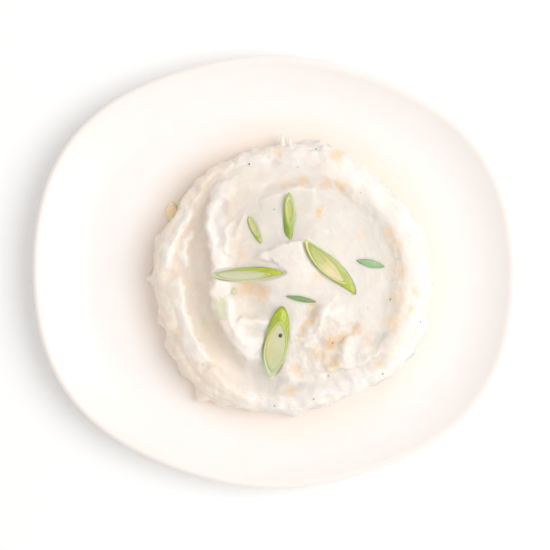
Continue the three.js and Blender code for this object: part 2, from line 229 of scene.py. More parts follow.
def plate_section():
    """Points (distance out on the mean outline, inset from the outline, height): over the top, back under."""
    lip = PLATE_WALL / 2
    floor_shares = np.linspace(0, 1, 16, endpoint=False)
    points = [(PLATE_RADIUS * FLOOR_SHARE * share, 0.0, PLATE_FLOOR) for share in floor_shares]
    points += [rim_point(along) for along in np.linspace(0, 1, 20)]
    for turn in np.radians(np.linspace(75, -60, 14)):
        height = plate_high.z - lip + lip * math.sin(turn)
        points.append((PLATE_RADIUS, lip * (1 - math.cos(turn)), height))
    points += [rim_point(along, PLATE_WALL) for along in np.linspace(0.92, 0.1, 16)]
    points.append((PLATE_RADIUS * FOOT_OUTER, -FOOT_FLARE, FOOT_HEIGHT))
    for edge, side in ((FOOT_OUTER, 1), (FOOT_INNER, -1)):
        for turn in np.radians(np.linspace(0, 90, 5) if side > 0 else np.linspace(90, 0, 5)):
            inset = side * FOOT_ROUND * (1 - math.cos(turn))
            points.append((PLATE_RADIUS * edge, inset, FOOT_ROUND * (1 - math.sin(turn))))
    recess_shares = (1.0, 0.66, 0.33, 0.0)
    points += [(PLATE_RADIUS * FOOT_INNER * share, FOOT_LEAN * share, FOOT_RECESS) for share in recess_shares]
    return points


section_points = plate_section()
section_mesh = bpy.data.meshes.new("plate")
section_mesh.from_pydata(section_points, [(i, i + 1) for i in range(len(section_points) - 1)], [])
print("section", len(section_points), "points")

# %% [markdown]
# ### Carrying the section round the outline
#
# The tree makes a grid with one row of vertices for each point of the section and one column for each step
# round the plate, so a vertex's index says which point and which angle it belongs to. Its place is then
# plain arithmetic: the outline's radius at that angle, times the point's share, less its inset. A very low
# wave keeps the rim from being as true as a machined one.


# %% Geometry Nodes tree for the plate
WAVE_SCALE = 12.0  # how many rises of the handmade wave there are in a metre
WAVE_GROWTH = 14.0  # a high power, so the wave is next to nothing until the rim


def outline_tree():
    """The tree that carries a section round an outline of waves."""
    sockets = {"Radius": "Float", "Steps round": "Int"}
    for count, _, _ in PLATE_WAVES:
        sockets.update({f"Wave {count} height": "Float", f"Wave {count} turn": "Float"})
    sockets.update({"Handmade wave": "Float", "Material": "Material"})
    tree, given = new_tree("carry section round outline", sockets)

    points = add(tree, "GeometryNodeAttributeDomainSize", {"Geometry": given["Geometry"]})
    columns = add(tree, "ShaderNodeMath", {0: given["Steps round"], 1: 1.0}, operation="ADD")
    grid_sockets = {"Vertices X": columns, "Vertices Y": points.outputs["Point Count"]}
    grid = add(tree, "GeometryNodeMeshGrid", grid_sockets)
    index = add(tree, "GeometryNodeInputIndex")
    share = add(tree, "ShaderNodeMath", {0: index, 1: points.outputs["Point Count"]}, operation="DIVIDE")
    column = add(tree, "ShaderNodeMath", {0: share}, operation="FLOOR")
    row = add(tree, "ShaderNodeMath", {0: index, 1: points.outputs["Point Count"]}, operation="MODULO")
    turn = add(tree, "ShaderNodeMath", {0: column, 1: given["Steps round"]}, operation="DIVIDE")
    angle = add(tree, "ShaderNodeMath", {0: turn, 1: 2 * math.pi}, operation="MULTIPLY")

    outline = 1.0
    for count, _, _ in PLATE_WAVES:
        turned = add(tree, "ShaderNodeMath", {0: angle, 1: given[f"Wave {count} turn"]}, operation="SUBTRACT")
        phase = add(tree, "ShaderNodeMath", {0: turned, 1: float(count)}, operation="MULTIPLY")
        wave = add(tree, "ShaderNodeMath", {0: phase}, operation="COSINE")
        height = given[f"Wave {count} height"]
        outline = add(tree, "ShaderNodeMath", {0: wave, 1: height, 2: outline}, operation="MULTIPLY_ADD")

    place = add(tree, "GeometryNodeInputPosition")
    sample_sockets = {"Geometry": given["Geometry"], "Value": place, "Index": row}
    sampled = add(tree, "GeometryNodeSampleIndex", sample_sockets, data_type="FLOAT_VECTOR")
    point = add(tree, "ShaderNodeSeparateXYZ", {0: sampled}).outputs
    stretched = add(tree, "ShaderNodeMath", {0: point["X"], 1: outline}, operation="MULTIPLY")
    out = add(tree, "ShaderNodeMath", {0: stretched, 1: point["Y"]}, operation="SUBTRACT")
    cosine = add(tree, "ShaderNodeMath", {0: angle}, operation="COSINE")
    sine = add(tree, "ShaderNodeMath", {0: angle}, operation="SINE")
    x = add(tree, "ShaderNodeMath", {0: out, 1: cosine}, operation="MULTIPLY")
    y = add(tree, "ShaderNodeMath", {0: out, 1: sine}, operation="MULTIPLY")
    true_place = add(tree, "ShaderNodeCombineXYZ", {"X": x, "Y": y, "Z": point["Z"]})

    # the low wave grows with the distance out, so the foot stays flat on the table
    broad = {"Vector": true_place, "Scale": WAVE_SCALE, "Detail": 0.0}
    uneven = add(tree, "ShaderNodeTexNoise", broad)
    centred = add(tree, "ShaderNodeMath", {0: uneven, 1: -0.5}, operation="ADD")
    share_out = add(tree, "ShaderNodeMath", {0: point["X"], 1: given["Radius"]}, operation="DIVIDE")
    grown = add(tree, "ShaderNodeMath", {0: share_out, 1: WAVE_GROWTH}, operation="POWER")
    lift = add(tree, "ShaderNodeMath", {0: centred, 1: given["Handmade wave"]}, operation="MULTIPLY")
    lifted = add(tree, "ShaderNodeMath", {0: lift, 1: grown, 2: point["Z"]}, operation="MULTIPLY_ADD")
    final_place = add(tree, "ShaderNodeCombineXYZ", {"X": x, "Y": y, "Z": lifted})

    moved = add(tree, "GeometryNodeSetPosition", {"Geometry": grid, "Position": final_place})
    closed = add(tree, "GeometryNodeMergeByDistance", {"Geometry": moved, "Distance": 0.01 * MM})
    # the grid's faces come out facing the clay
    outward = add(tree, "GeometryNodeFlipFaces", {"Mesh": closed})
    smooth = add(tree, "GeometryNodeSetShadeSmooth", {"Geometry": outward})
    real = add(tree, "GeometryNodeRealizeInstances", {"Geometry": smooth})
    dressed = add(tree, "GeometryNodeSetMaterial", {"Geometry": real, "Material": given["Material"]})
    add(tree, "NodeGroupOutput", {"Geometry": dressed})
    return tree


carry_tree = outline_tree()
print(carry_tree.name, len(carry_tree.nodes), "nodes")


# %% Run a tree and keep the mesh
def grow(name, mesh, tree, values):
    """Runs a tree on a mesh with its named inputs set, and returns the result as a plain mesh object."""
    seed_object = bpy.data.objects.new(name, mesh)
    bpy.context.scene.collection.objects.link(seed_object)
    modifier = seed_object.modifiers.new("grow", "NODES")
    modifier.node_group = tree
    for item in tree.interface.items_tree:
        if item.in_out == "INPUT" and item.name in values:
            modifier[item.identifier] = values[item.name]
    bpy.context.view_layer.update()
    evaluated = seed_object.evaluated_get(bpy.context.evaluated_depsgraph_get())
    result = bpy.data.meshes.new_from_object(evaluated)
    seed_object.modifiers.remove(modifier)
    seed_object.data = result
    result.name = name
    return seed_object


# %% [markdown]
# ### The glaze
#
# Cream glaze over stoneware, fired glossy. It pools a little thicker and whiter on the floor, and breaks
# thin and warmer over the lip, where the clay shows through. The foot ring was wiped clean before firing,
# so it is bare buff clay. Round the mound the glaze is painted warmer and darker: painted shade, with the
# warm light that the mash bounces onto it.
# All of this depends on height and on the distance from the mound, and Object coordinates give both.

# %% Glaze material
GLAZE_WHITE = "#FCF7F4"
GLAZE_WARM = "#FAF0EA"
GLAZE_PAINTED_SHADE = "#F7EADF"
BARE_CLAY = "#C9B497"
PAINTED_SHADE_REACH = 17 * MM  # how far past the mound's mean radius the painted shade reaches
PAINTED_SHADE_UNDER = 4 * MM  # and how far inside it the painted shade is full
GLAZE_MOTTLE = 9 * MM  # the size of the clouds in the glaze
GLAZE_PITS = 1.1 * MM
LIP_HEIGHT = 2.6 * MM  # how much of the rim's height the glaze breaks thin over
LIP_THIN = 0.55
GLAZE_ROUGH = 0.22
CLAY_ROUGH = 0.85
GLAZE_IOR = 1.5  # a glaze is a glass


def glaze():
    """Cream dipped glaze on stoneware."""
    material, tree, shader = new_material("cream glazed stoneware")
    place = add(tree, "ShaderNodeTexCoord").outputs["Object"]
    clouds = add(tree, "ShaderNodeTexNoise", {"Vector": place, "Scale": 1 / GLAZE_MOTTLE, "Detail": 3.0})
    height = add(tree, "ShaderNodeSeparateXYZ", {0: place}).outputs["Z"]
    lip_range = {"Value": height, "From Min": plate_high.z - LIP_HEIGHT, "From Max": plate_high.z}
    near_lip = add(tree, "ShaderNodeMapRange", lip_range, interpolation_type="SMOOTHSTEP")
    cloud_range = {"Value": clouds, "From Min": 0.35, "From Max": 0.7, "To Max": 0.25}
    cloudy = add(tree, "ShaderNodeMapRange", cloud_range)
    thin = add(tree, "ShaderNodeMath", {0: near_lip, 1: LIP_THIN, 2: cloudy}, operation="MULTIPLY_ADD")
    # Painted shade: the glaze turns warmer and darker round the mound's foot, standing in for its shadow and
    # bounce light.
    mound_middle = ((mash_low.x + mash_high.x) / 2, (mash_low.y + mash_high.y) / 2, PLATE_FLOOR)
    mound_radius = (mash_high.x - mash_low.x) / 2
    away = add(tree, "ShaderNodeVectorMath", {0: place, 1: mound_middle}, operation="DISTANCE")
    painted_shade_range = {"Value": away.outputs["Value"], "From Min": mound_radius + PAINTED_SHADE_REACH}
    painted_shade_range["From Max"] = mound_radius - PAINTED_SHADE_UNDER
    painted_shade = add(tree, "ShaderNodeMapRange", painted_shade_range, interpolation_type="SMOOTHSTEP")
    foot_range = {"Value": height, "From Min": 0.9 * MM, "From Max": 0.6 * MM}
    bare = add(tree, "ShaderNodeMapRange", foot_range)
    colour = linear(GLAZE_WHITE)
    for share, over in ((thin, GLAZE_WARM), (painted_shade, GLAZE_PAINTED_SHADE), (bare, BARE_CLAY)):
        mixed = add(tree, "ShaderNodeMix", {0: share, 6: colour, 7: linear(over)}, data_type="RGBA")
        colour = mixed.outputs[2]
    tree.links.new(colour, shader.inputs["Base Color"])
    rough = add(tree, "ShaderNodeMapRange", {"Value": bare, "To Min": GLAZE_ROUGH, "To Max": CLAY_ROUGH})
    tree.links.new(rough.outputs[0], shader.inputs["Roughness"])
    pits = add(tree, "ShaderNodeTexNoise", {"Vector": place, "Scale": 1 / GLAZE_PITS, "Detail": 2.0})
    bump = add(tree, "ShaderNodeBump", {"Height": pits, "Strength": 0.05, "Distance": 0.1 * MM})
    tree.links.new(bump.outputs[0], shader.inputs["Normal"])
    shader.inputs["IOR"].default_value = GLAZE_IOR
    return material


glaze_material = glaze()

# %% Plate piece
plate_values = {"Radius": PLATE_RADIUS, "Steps round": 240, "Handmade wave": 1.0 * MM}
plate_values["Material"] = glaze_material
for count, height, turn in PLATE_WAVES:
    plate_values[f"Wave {count} height"] = height
    plate_values[f"Wave {count} turn"] = math.radians(turn)
plate = grow("stoneware_plate", section_mesh, carry_tree, plate_values)
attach(plate, "root")
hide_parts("plate")
print("plate", len(plate.data.polygons), "faces,", [round(s / MM, 1) for s in plate.dimensions], "mm")

# %% [markdown]
# ## Mashed potato
#
# Potato mashed with butter and milk is soft enough to hold the track of a spoon. This one was heaped in the
# middle of the plate, and the back of a spoon was drawn round it in a spiral that curls in on the left. It
# left a smooth channel between two lips, a broad hollow on the right, and a broken middle where the spoon
# was lifted away. The sides were never touched, so they stay lumpy.
#
# A height above the plate for every point is enough for all of this, and then each point is pushed along
# the surface's own direction for the lumps. The strokes are the same rules that the CAD solid was made
# with, as shares of the mound's radius and height, and its box gives those two.

# %% The spoon's folds
# The outline's waves: how many in a turn, height as a share of the radius, and turn in degrees.
MASH_WAVES = (
    (1, 0.0105, -19), (2, 0.024, 14), (3, 0.019, -16), (4, 0.015, -25), (5, 0.01, 15), (7, 0.012, 21),
)
# A fold runs anticlockwise through its points, and stands up (or, below 0, is scooped out) by its rise. Its
# two widths say how far it spreads towards the mound's middle and away from it, so a narrow one is a steep
# side. A last number, where there is one, says how far its back is a crest.
FOLDS = {
    "channel": (
        ((-0.4, 0.8), (-0.57, 0.6), (-0.69, 0.36), (-0.71, 0.1), (-0.69, -0.15), (-0.58, -0.38),
         (-0.43, -0.56), (-0.25, -0.7), (-0.03, -0.76)), -0.12, (0.09, 0.12)),
    "outer lip, back": (((-0.1, 0.92), (-0.4, 0.84), (-0.6, 0.7), (-0.73, 0.5)), 0.05, (0.08, 0.06)),
    "outer lip, left": (((-0.7, 0.52), (-0.8, 0.38), (-0.86, 0.25), (-0.885, 0.06)), 0.1, (0.035, 0.07)),
    "outer lip, front left": (
        ((-0.82, 0.06), (-0.79, -0.08), (-0.77, -0.22), (-0.735, -0.38), (-0.65, -0.49), (-0.57, -0.62)),
        0.1, (0.04, 0.09)),
    "outer lip, front": (((-0.6, -0.6), (-0.5, -0.73), (-0.33, -0.85), (-0.05, -0.9)), 0.05, (0.05, 0.08)),
    "second lip": (((-0.69, 0.38), (-0.755, 0.28), (-0.775, 0.19), (-0.74, 0.07)), 0.055, (0.03, 0.03)),
    "inner lip": (
        ((-0.22, 0.77), (-0.4, 0.7), (-0.5, 0.61), (-0.545, 0.51), (-0.555, 0.39), (-0.53, 0.28),
         (-0.515, 0.15), (-0.51, 0.02), (-0.52, -0.13), (-0.475, -0.25), (-0.41, -0.35), (-0.34, -0.45),
         (-0.27, -0.54), (-0.2, -0.57)), 0.13, (0.12, 0.045), 0.15),
    "crease behind the lip": (
        ((-0.43, 0.56), (-0.51, 0.45), (-0.5, 0.34), (-0.48, 0.22)), -0.05, (0.03, 0.035)),
    "upper left fold": (((-0.4, 0.42), (-0.44, 0.34), (-0.42, 0.25), (-0.44, 0.17)), 0.045, (0.035, 0.025)),
    "third fold": (((-0.3, 0.46), (-0.36, 0.38), (-0.37, 0.28)), 0.025, (0.03, 0.025)),
    "front left ridge": (
        ((-0.44, -0.1), (-0.405, -0.2), (-0.385, -0.28), (-0.33, -0.38), (-0.26, -0.46)),
        0.06, (0.04, 0.035)),
    "ring": (
        ((0.47, -0.6), (0.63, -0.53), (0.75, -0.43), (0.81, -0.3), (0.84, -0.16), (0.85, 0.02),
         (0.835, 0.19), (0.775, 0.35), (0.69, 0.48), (0.58, 0.585), (0.45, 0.675), (0.3, 0.75), (0.1, 0.8),
         (-0.15, 0.81)), 0.1, (0.1, 0.14), 0.1),
    "ring, front": (((-0.1, -0.7), (0.1, -0.74), (0.3, -0.72), (0.5, -0.64)), 0.07, (0.06, 0.12), 0.2),
    "back groove": (
        ((0.46, 0.6), (0.3, 0.68), (0.1, 0.71), (-0.1, 0.68), (-0.26, 0.6)), -0.05, (0.04, 0.045)),
    "back step": (((0.2, 0.64), (0.06, 0.645), (-0.1, 0.6), (-0.22, 0.54)), 0.03, (0.07, 0.025)),
    "right groove": (((0.8, -0.3), (0.88, -0.18), (0.915, -0.04)), -0.035, (0.03, 0.03)),
    "curled fold": (
        ((0.14, 0.265), (0.01, 0.24), (-0.1, 0.215), (-0.175, 0.175), (-0.18, 0.13)),
        0.065, (0.1, 0.032), 0.25),
    "left finger": (
        ((-0.15, -0.325), (-0.21, -0.3), (-0.27, -0.3), (-0.34, -0.265)), 0.04, (0.04, 0.035), 0.2),
    "gap under the finger": (((-0.14, -0.38), (-0.22, -0.35), (-0.31, -0.355)), -0.035, (0.035, 0.04)),
    "middle cleft": (((0.05, -0.42), (0.1, -0.3), (0.155, -0.22), (0.18, -0.14)), -0.045, (0.045, 0.03)),
    "right cleft": (((0.17, -0.46), (0.3, -0.45), (0.38, -0.395), (0.5, -0.31)), -0.05, (0.04, 0.025)),
    "front cleft": (((0.2, -0.62), (0.31, -0.55), (0.335, -0.45)), -0.02, (0.04, 0.03)),
    "lumpy crest": (((0.24, -0.64), (0.36, -0.6), (0.5, -0.58), (0.66, -0.49)), 0.045, (0.035, 0.025), 0.9),
    "step by the cleft": (
        ((0.2, -0.4), (0.23, -0.28), (0.27, -0.16), (0.36, -0.1)), 0.035, (0.05, 0.03), 0.7),
}
print("folds", len(FOLDS))

# %% The spoon's dabs
# Each is a touch of the spoon's tip: its middle, half sizes, turn in degrees, and rise.
DABS = {
    "right lean": ((0.95, 0.0), (0.75, 1.0), 0, 0.04),
    "right hollow": ((0.52, 0.16), (0.26, 0.4), 10, -0.1),
    "middle hump": ((0.03, 0.06), (0.24, 0.17), 24, 0.09),
    "dip behind the fold": ((-0.06, 0.33), (0.18, 0.07), 18, -0.05),
    "left pocket": ((-0.3, 0.05), (0.12, 0.07), 0, -0.05),
    "orange hollow": ((-0.29, -0.06), (0.13, 0.06), 0, -0.06),
    "left hollow": ((-0.23, -0.2), (0.11, 0.07), -10, -0.08),
    "lump by the cleft": ((0.22, -0.25), (0.045, 0.08), -10, 0.07),
    "lump right of it": ((0.31, -0.23), (0.07, 0.05), 20, 0.04),
    "bright lump": ((0.4, -0.51), (0.055, 0.1), -15, 0.06),
    "front pan": ((0.15, -0.54), (0.13, 0.07), 10, -0.08),
    "right pan": ((0.61, -0.42), (0.1, 0.055), 20, -0.07),
    "far right pan": ((0.66, -0.19), (0.06, 0.11), 0, -0.03),
    "front lump": ((-0.03, -0.66), (0.06, 0.06), 0, 0.06),
    "front dip": ((0.03, -0.78), (0.07, 0.03), 10, -0.05),
    "front right lump": ((0.56, -0.7), (0.1, 0.07), 30, 0.04),
    "crumb, right": ((0.52, -0.5), (0.05, 0.035), 30, 0.04),
    "crumb, middle": ((0.13, -0.47), (0.05, 0.04), 0, 0.035),
    "crumb, front": ((0.22, -0.68), (0.05, 0.04), 10, 0.035),
}
print("dabs", len(DABS))

# %% The heap before the spoon touched it
HEAP_HEIGHT = 0.8  # as a share of the swirl's full height
WALL_SHARE = 0.5  # how much of the heap's height is its steep side wall
WALL_STEEPNESS = 30


def smoothstep(value, start, end):
    """0 before start, 1 after end, and an S curve between."""
    share = np.clip((value - start) / (end - start), 0, 1)
    return share * share * (3 - 2 * share)


def outline_share(angle):
    """The mound's outline as a share of its mean radius."""
    waves = (height * np.cos(count * (angle - math.radians(turn))) for count, height, turn in MASH_WAVES)
    return 1 + sum(waves)


def plain_dome(outward):
    """The height, as a share, of the plain heap."""
    wall = (1 - outward**WALL_STEEPNESS) ** 0.5
    heap = 1 - outward**2
    return HEAP_HEIGHT * (WALL_SHARE * wall + (1 - WALL_SHARE) * heap)


print("heap", [round(float(plain_dome(out)), 2) for out in (0, 0.5, 0.9, 1)], "of the full height")

# %% [markdown]
# ### One stroke of the spoon
#
# A stroke's track is a smooth line. Each point near it is asked how far away it is and on which side, and
# the track's section is a bell curve of that distance, narrower on its steep side. A plain bell has a round
# back. A crest, which the back of a spoon leaves where it turns, is sharp, so the two are mixed.

# %% A fold's shape
PATH_STEPS = 6  # pieces of a path between two of its points
SHARPNESS = 0.6  # how far a ridge goes from a round back towards a crest
FOLD_FADE = 0.16  # how much of its length a fold takes to rise at each end
FOLD_REACH = 3.0  # how many widths away a fold is still felt
CREST_NARROWNESS = 1.3
CREST_ROUNDNESS = 0.2


def smooth_path(points):
    """A smooth line through points: a Catmull-Rom spline."""
    knots = np.array([points[0], *points, points[-1]], float)
    t = np.linspace(0, 1, PATH_STEPS, endpoint=False)[:, None]
    pieces = []
    for p0, p1, p2, p3 in zip(knots, knots[1:], knots[2:], knots[3:]):
        bend = t * (p2 - p0) + t**2 * (2 * p0 - 5 * p1 + 4 * p2 - p3) + t**3 * (3 * p1 - p0 - 3 * p2 + p3)
        pieces.append(p1 + bend / 2)
    return np.vstack([*pieces, knots[-1:]])


def fold_shape(fold, x, y):
    """What a fold adds at points, and which way and how much it leans towards its steep side."""
    points, rise, (inside, outside), *ridge = fold
    line = smooth_path(points)
    flat = np.stack([x.ravel(), y.ravel()], -1)
    reach = FOLD_REACH * max(inside, outside)
    near = np.all((flat > line.min(0) - reach) & (flat < line.max(0) + reach), axis=1)
    spots = flat[near]
    best = np.full(len(spots), 1e9)
    side = np.zeros(len(spots))
    along = np.zeros(len(spots))
    away = np.zeros_like(spots)
    for number, (start, end) in enumerate(zip(line, line[1:])):
        step = end - start
        share = np.clip((spots - start) @ step / (step @ step), 0, 1)
        off = spots - start - share[:, None] * step
        distance = np.hypot(off[:, 0], off[:, 1])
        closer = distance < best
        best = np.where(closer, distance, best)
        side = np.where(closer, step[0] * off[:, 1] - step[1] * off[:, 0], side)
        along = np.where(closer, (number + share) / (len(line) - 1), along)
        normal = np.array([step[1], -step[0]]) / np.hypot(*step)
        away = np.where(closer[:, None], normal, away)
    spread = best / np.where(side > 0, inside, outside)
    fade = smoothstep(along, 0, FOLD_FADE) * (1 - smoothstep(along, 1 - FOLD_FADE, 1))
    soft = np.exp(-(spread**2))
    sharp = np.exp(CREST_ROUNDNESS - np.hypot(CREST_NARROWNESS * spread, CREST_ROUNDNESS))
    sharpness = ridge[0] if ridge else SHARPNESS if rise > 0 else 0
    shape = fade * (soft + (sharp - soft) * sharpness)
    added = np.zeros(len(flat))
    added[near] = rise * shape
    lean = np.zeros_like(flat)
    lean[near] = away * (max(rise, 0) * shape * (1 if outside < inside else -1))[:, None]
    return added.reshape(x.shape), lean.reshape(*x.shape, 2)


print("inner lip's path", len(smooth_path(FOLDS["inner lip"][0])), "points")


# %% A dab's shape, and the whole swirl
EDGE_ROUND = 0.03  # how far in from its edge the mound's top is rounded off
EDGE_POWER = 0.4


def dab_rise(dab, x, y):
    """What a dab adds at points."""
    (middle_x, middle_y), (length, width), turn, rise = dab
    cosine, sine = math.cos(math.radians(turn)), math.sin(math.radians(turn))
    along = (x - middle_x) * cosine + (y - middle_y) * sine
    across = (y - middle_y) * cosine - (x - middle_x) * sine
    return rise * np.exp(-((along / length) ** 2) - (across / width) ** 2)


def swirl_shape(x, y, torn_x, torn_y):
    """The swirled top's height, as a share of the full height, and its lean, at points in shares of the mean
    radius. Lips read the torn places, and hollows the plain ones."""
    outward = np.minimum(np.hypot(x, y) / outline_share(np.arctan2(y, x)), 1)
    height = plain_dome(outward)
    lean = np.zeros((*x.shape, 2))
    for fold in FOLDS.values():
        added, leaning = fold_shape(fold, torn_x, torn_y) if fold[1] > 0 else fold_shape(fold, x, y)
        height = height + added
        lean = lean + leaning
    height = height + sum(dab_rise(dab, x, y) for dab in DABS.values())
    edge_fall = smoothstep(1 - outward, 0, EDGE_ROUND) ** EDGE_POWER
    return height * edge_fall, lean * edge_fall[..., None]


print("the middle hump adds", round(float(dab_rise(DABS["middle hump"], 0, 0)), 3), "of the height")

# %% Fit the swirl to the CAD mound's box
turns = np.radians(np.arange(0, 360))
unit_x = outline_share(turns) * np.cos(turns)
unit_y = outline_share(turns) * np.sin(turns)
MASH_RADIUS = (mash_high.x - mash_low.x) / (unit_x.max() - unit_x.min())
middle_x = mash_high.x - MASH_RADIUS * unit_x.max()
middle_y = mash_high.y - MASH_RADIUS * unit_y.max()
mash_middle = Vector((middle_x, middle_y, mash_low.z))
test_x, test_y = np.meshgrid(np.linspace(-1, 1, 121), np.linspace(-1, 1, 121))
test_heights, _ = swirl_shape(test_x, test_y, test_x, test_y)
MASH_HEIGHT = (mash_high.z - mash_low.z) / test_heights.max()
print("mound radius", round(MASH_RADIUS / MM, 1), "full height", round(MASH_HEIGHT / MM, 1), "mm")

# %% [markdown]
# ### Beds for the onion
#
# Each slice was dropped on the soft mash and lies flush in it. The CAD node of a slice tells where: its
# vertices' main directions are the slice's length, width and upward side. The mound is pressed to the
# slice's underside there.


# %% Read the slices' frames
POINTEDNESS = 0.61  # 0.5 would be an ellipse, and 1 a pair of parabolas that meet in sharp points
END_ROOM = -0.8 * MM  # how far a slice's bed reaches past its two tips: it stops short of them
TINY = 1e-9  # keeps a share from being exactly 0 or 1


class Lie:
    """How a slice lies: its middle, directions (along, across, up) and half sizes, read from its CAD node."""

    def __init__(self, node):
        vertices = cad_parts[node].data.vertices
        points = np.array([v.co for v in vertices])
        self.middle = (points.max(0) + points.min(0)) / 2
        _, _, found = np.linalg.svd(points - points.mean(0), full_matrices=False)
        found = sorted(found, key=lambda axis: abs(axis[2]))  # the steepest is the slice's upward side
        longest = max(found[:2], key=lambda axis: np.ptp(points @ axis))
        self.up = found[2] * np.sign(found[2][2])
        self.along = longest * np.sign(longest[0] + TINY)
        self.across = np.cross(self.up, self.along)
        self.axes = np.array([self.along, self.across, self.up])
        local = (points - self.middle) @ self.axes.T
        self.half = (local.max(0) - local.min(0)) / 2
        self.middle = self.middle + ((local.max(0) + local.min(0)) / 2) @ self.axes

    def under(self, x, y):
        """The height of the slice's underside, carried on as a plane."""
        foot = self.middle - self.up * self.half[2]
        return foot[2] - ((x - foot[0]) * self.up[0] + (y - foot[1]) * self.up[1]) / self.up[2]

    def beyond(self, x, y):
        """How far points lie past the slice's edge."""
        along = (x - self.middle[0]) * self.along[0] + (y - self.middle[1]) * self.along[1]
        across = (x - self.middle[0]) * self.across[0] + (y - self.middle[1]) * self.across[1]
        length = self.half[0] + END_ROOM
        taper = (1 - np.minimum(np.abs(along) / length, 1) ** 2) ** POINTEDNESS
        past_end = np.maximum(np.abs(along) - length, 0)
        past_side = np.maximum(np.abs(across) - self.half[1] * taper, 0)
        return np.hypot(past_end, past_side)


SLICE_NODES = [f"spring_onion_{number}" for number in range(1, 8)]
lies = {node: Lie(node) for node in SLICE_NODES}
for node, lie in lies.items():
    print(node, "half sizes", [round(h / MM, 1) for h in lie.half], "mm")

# %% [markdown]
# ### A grid for the mound
#
# A polar grid wastes its faces in the middle and starves the edge. A square grid bent into a disc spreads
# them evenly. The distance out is then respaced along the mound's side, so that the steep wall gets its
# share too.

# %% Disc grid
MASH_GRID = 312  # vertices along a side of the square


def disc_grid(count):
    """A square grid bent into a disc: distance out from 0 to 1, and angle."""
    a, b = np.meshgrid(np.linspace(-1, 1, count), np.linspace(-1, 1, count), indexing="ij")
    wide = np.abs(a) > np.abs(b)
    safe_a = np.where(a == 0, 1, a)
    safe_b = np.where(b == 0, 1, b)
    angle = np.where(wide, b / safe_a * math.pi / 4, math.pi / 2 - a / safe_b * math.pi / 4)
    out = np.where(wide, a, b)
    angle = np.where((a == 0) & (b == 0), 0, angle)
    return np.abs(out), np.where(out < 0, angle + math.pi, angle)


def respace(out):
    """Distances out, spaced evenly along the mound's plain side instead of along its floor."""
    share = np.linspace(0, 1, 2000)
    side = plain_dome(share) * MASH_HEIGHT / MASH_RADIUS
    length = np.concatenate([[0], np.cumsum(np.hypot(np.diff(share), np.diff(side)))])
    return np.interp(out, length / length[-1], share)


grid_out, grid_angle = disc_grid(MASH_GRID)
grid_share = respace(grid_out)
unit_radius = grid_share * outline_share(grid_angle)
mash_x = unit_radius * np.cos(grid_angle)
mash_y = unit_radius * np.sin(grid_angle)
plain = np.stack([mash_x * MASH_RADIUS, mash_y * MASH_RADIUS, 0 * mash_x], -1)
print("mound grid", MASH_GRID, "by", MASH_GRID)

# %% [markdown]
# ### Uneven folds
#
# A spoon's track wanders. Before the folds are worked out, each point's place is shifted a little by broad
# noise, so every crest and cleft wavers and thickens as it would by hand. The crests then lean over their
# steep side.

# %% Lay the folds on the grid
WAVER = 7 * MM
WAVER_REACH = 0.022  # in shares of the mound's radius
NICK = 2.6 * MM  # small nicks that make a crest look torn
NICK_REACH = 0.010
LEAN = 0.20  # how far a crest hangs over its steep side, as a share of its rise


def cloud(points, size, seed, octaves=2):
    """Smooth noise between about -1 and 1 at each point."""
    flat = points.reshape(-1, 3) / size + seed
    values = [noise.fractal(p, 1.0, 2.0, octaves, noise_basis="PERLIN_ORIGINAL") for p in flat.tolist()]
    return np.array(values).reshape(points.shape[:-1])


within = 1 - smoothstep(grid_share, 0.9, 1.0)
waved_x = mash_x + cloud(plain, WAVER, seed=5.5) * WAVER_REACH * within
waved_y = mash_y + cloud(plain, WAVER, seed=61.5) * WAVER_REACH * within
nicked_x = waved_x + cloud(plain, NICK, seed=12.5) * NICK_REACH
nicked_y = waved_y + cloud(plain, NICK, seed=93.5) * NICK_REACH
swirl, lean = swirl_shape(waved_x, waved_y, nicked_x, nicked_y)
mash_points = plain + np.array(mash_middle)
mash_points[..., 2] += swirl * MASH_HEIGHT
mash_points[..., :2] += lean * LEAN * MASH_RADIUS
print("mound folds", len(FOLDS), "and dabs", len(DABS))

# %% [markdown]
# ### Layers, lumps and drag marks
#
# Where the spoon pressed, the mash is smooth, with faint lines along its path. Where it didn't, on the side
# wall and the crests, it hangs in soft layers with thin creases between them. So one mask says how rough
# each point is. Crests are found by how far the swirl stands above its own surroundings: its height less a
# blurred copy of it.

# %% Find the crests and clefts
RASTER = 301  # points along a side of the square that bends are measured on
RASTER_HALF = 1.1  # half that side, in shares of the mound's radius
BEND_CELLS = 4  # how far the blur reaches, in steps of that square
WALL_BAND = (0.80, 0.93)  # the side wall begins and is steep at these shares of the radius
CREST_BEND = (0.25, 1.2)  # a crest that stands up this far, in millimetres, begins to tear, and is all torn
BROKEN_AT = (0.22, -0.42)  # where the spoon was lifted away, in shares of the radius
BROKEN_SPREAD = (0.12, 0.07)
BROKEN = 0.6


def blurred(heights, width):
    """A raster of heights smoothed twice over a square of cells."""
    for axis in (0, 1, 0, 1):
        pad = [(width + 1, width) if axis == this else (0, 0) for this in (0, 1)]
        sums = np.cumsum(np.pad(heights, pad, mode="edge"), axis=axis)
        count = sums.shape[axis] - 2 * width - 1
        before = np.take(sums, range(count), axis=axis)
        after = np.take(sums, range(2 * width + 1, count + 2 * width + 1), axis=axis)
        heights = (after - before) / (2 * width + 1)
    return heights


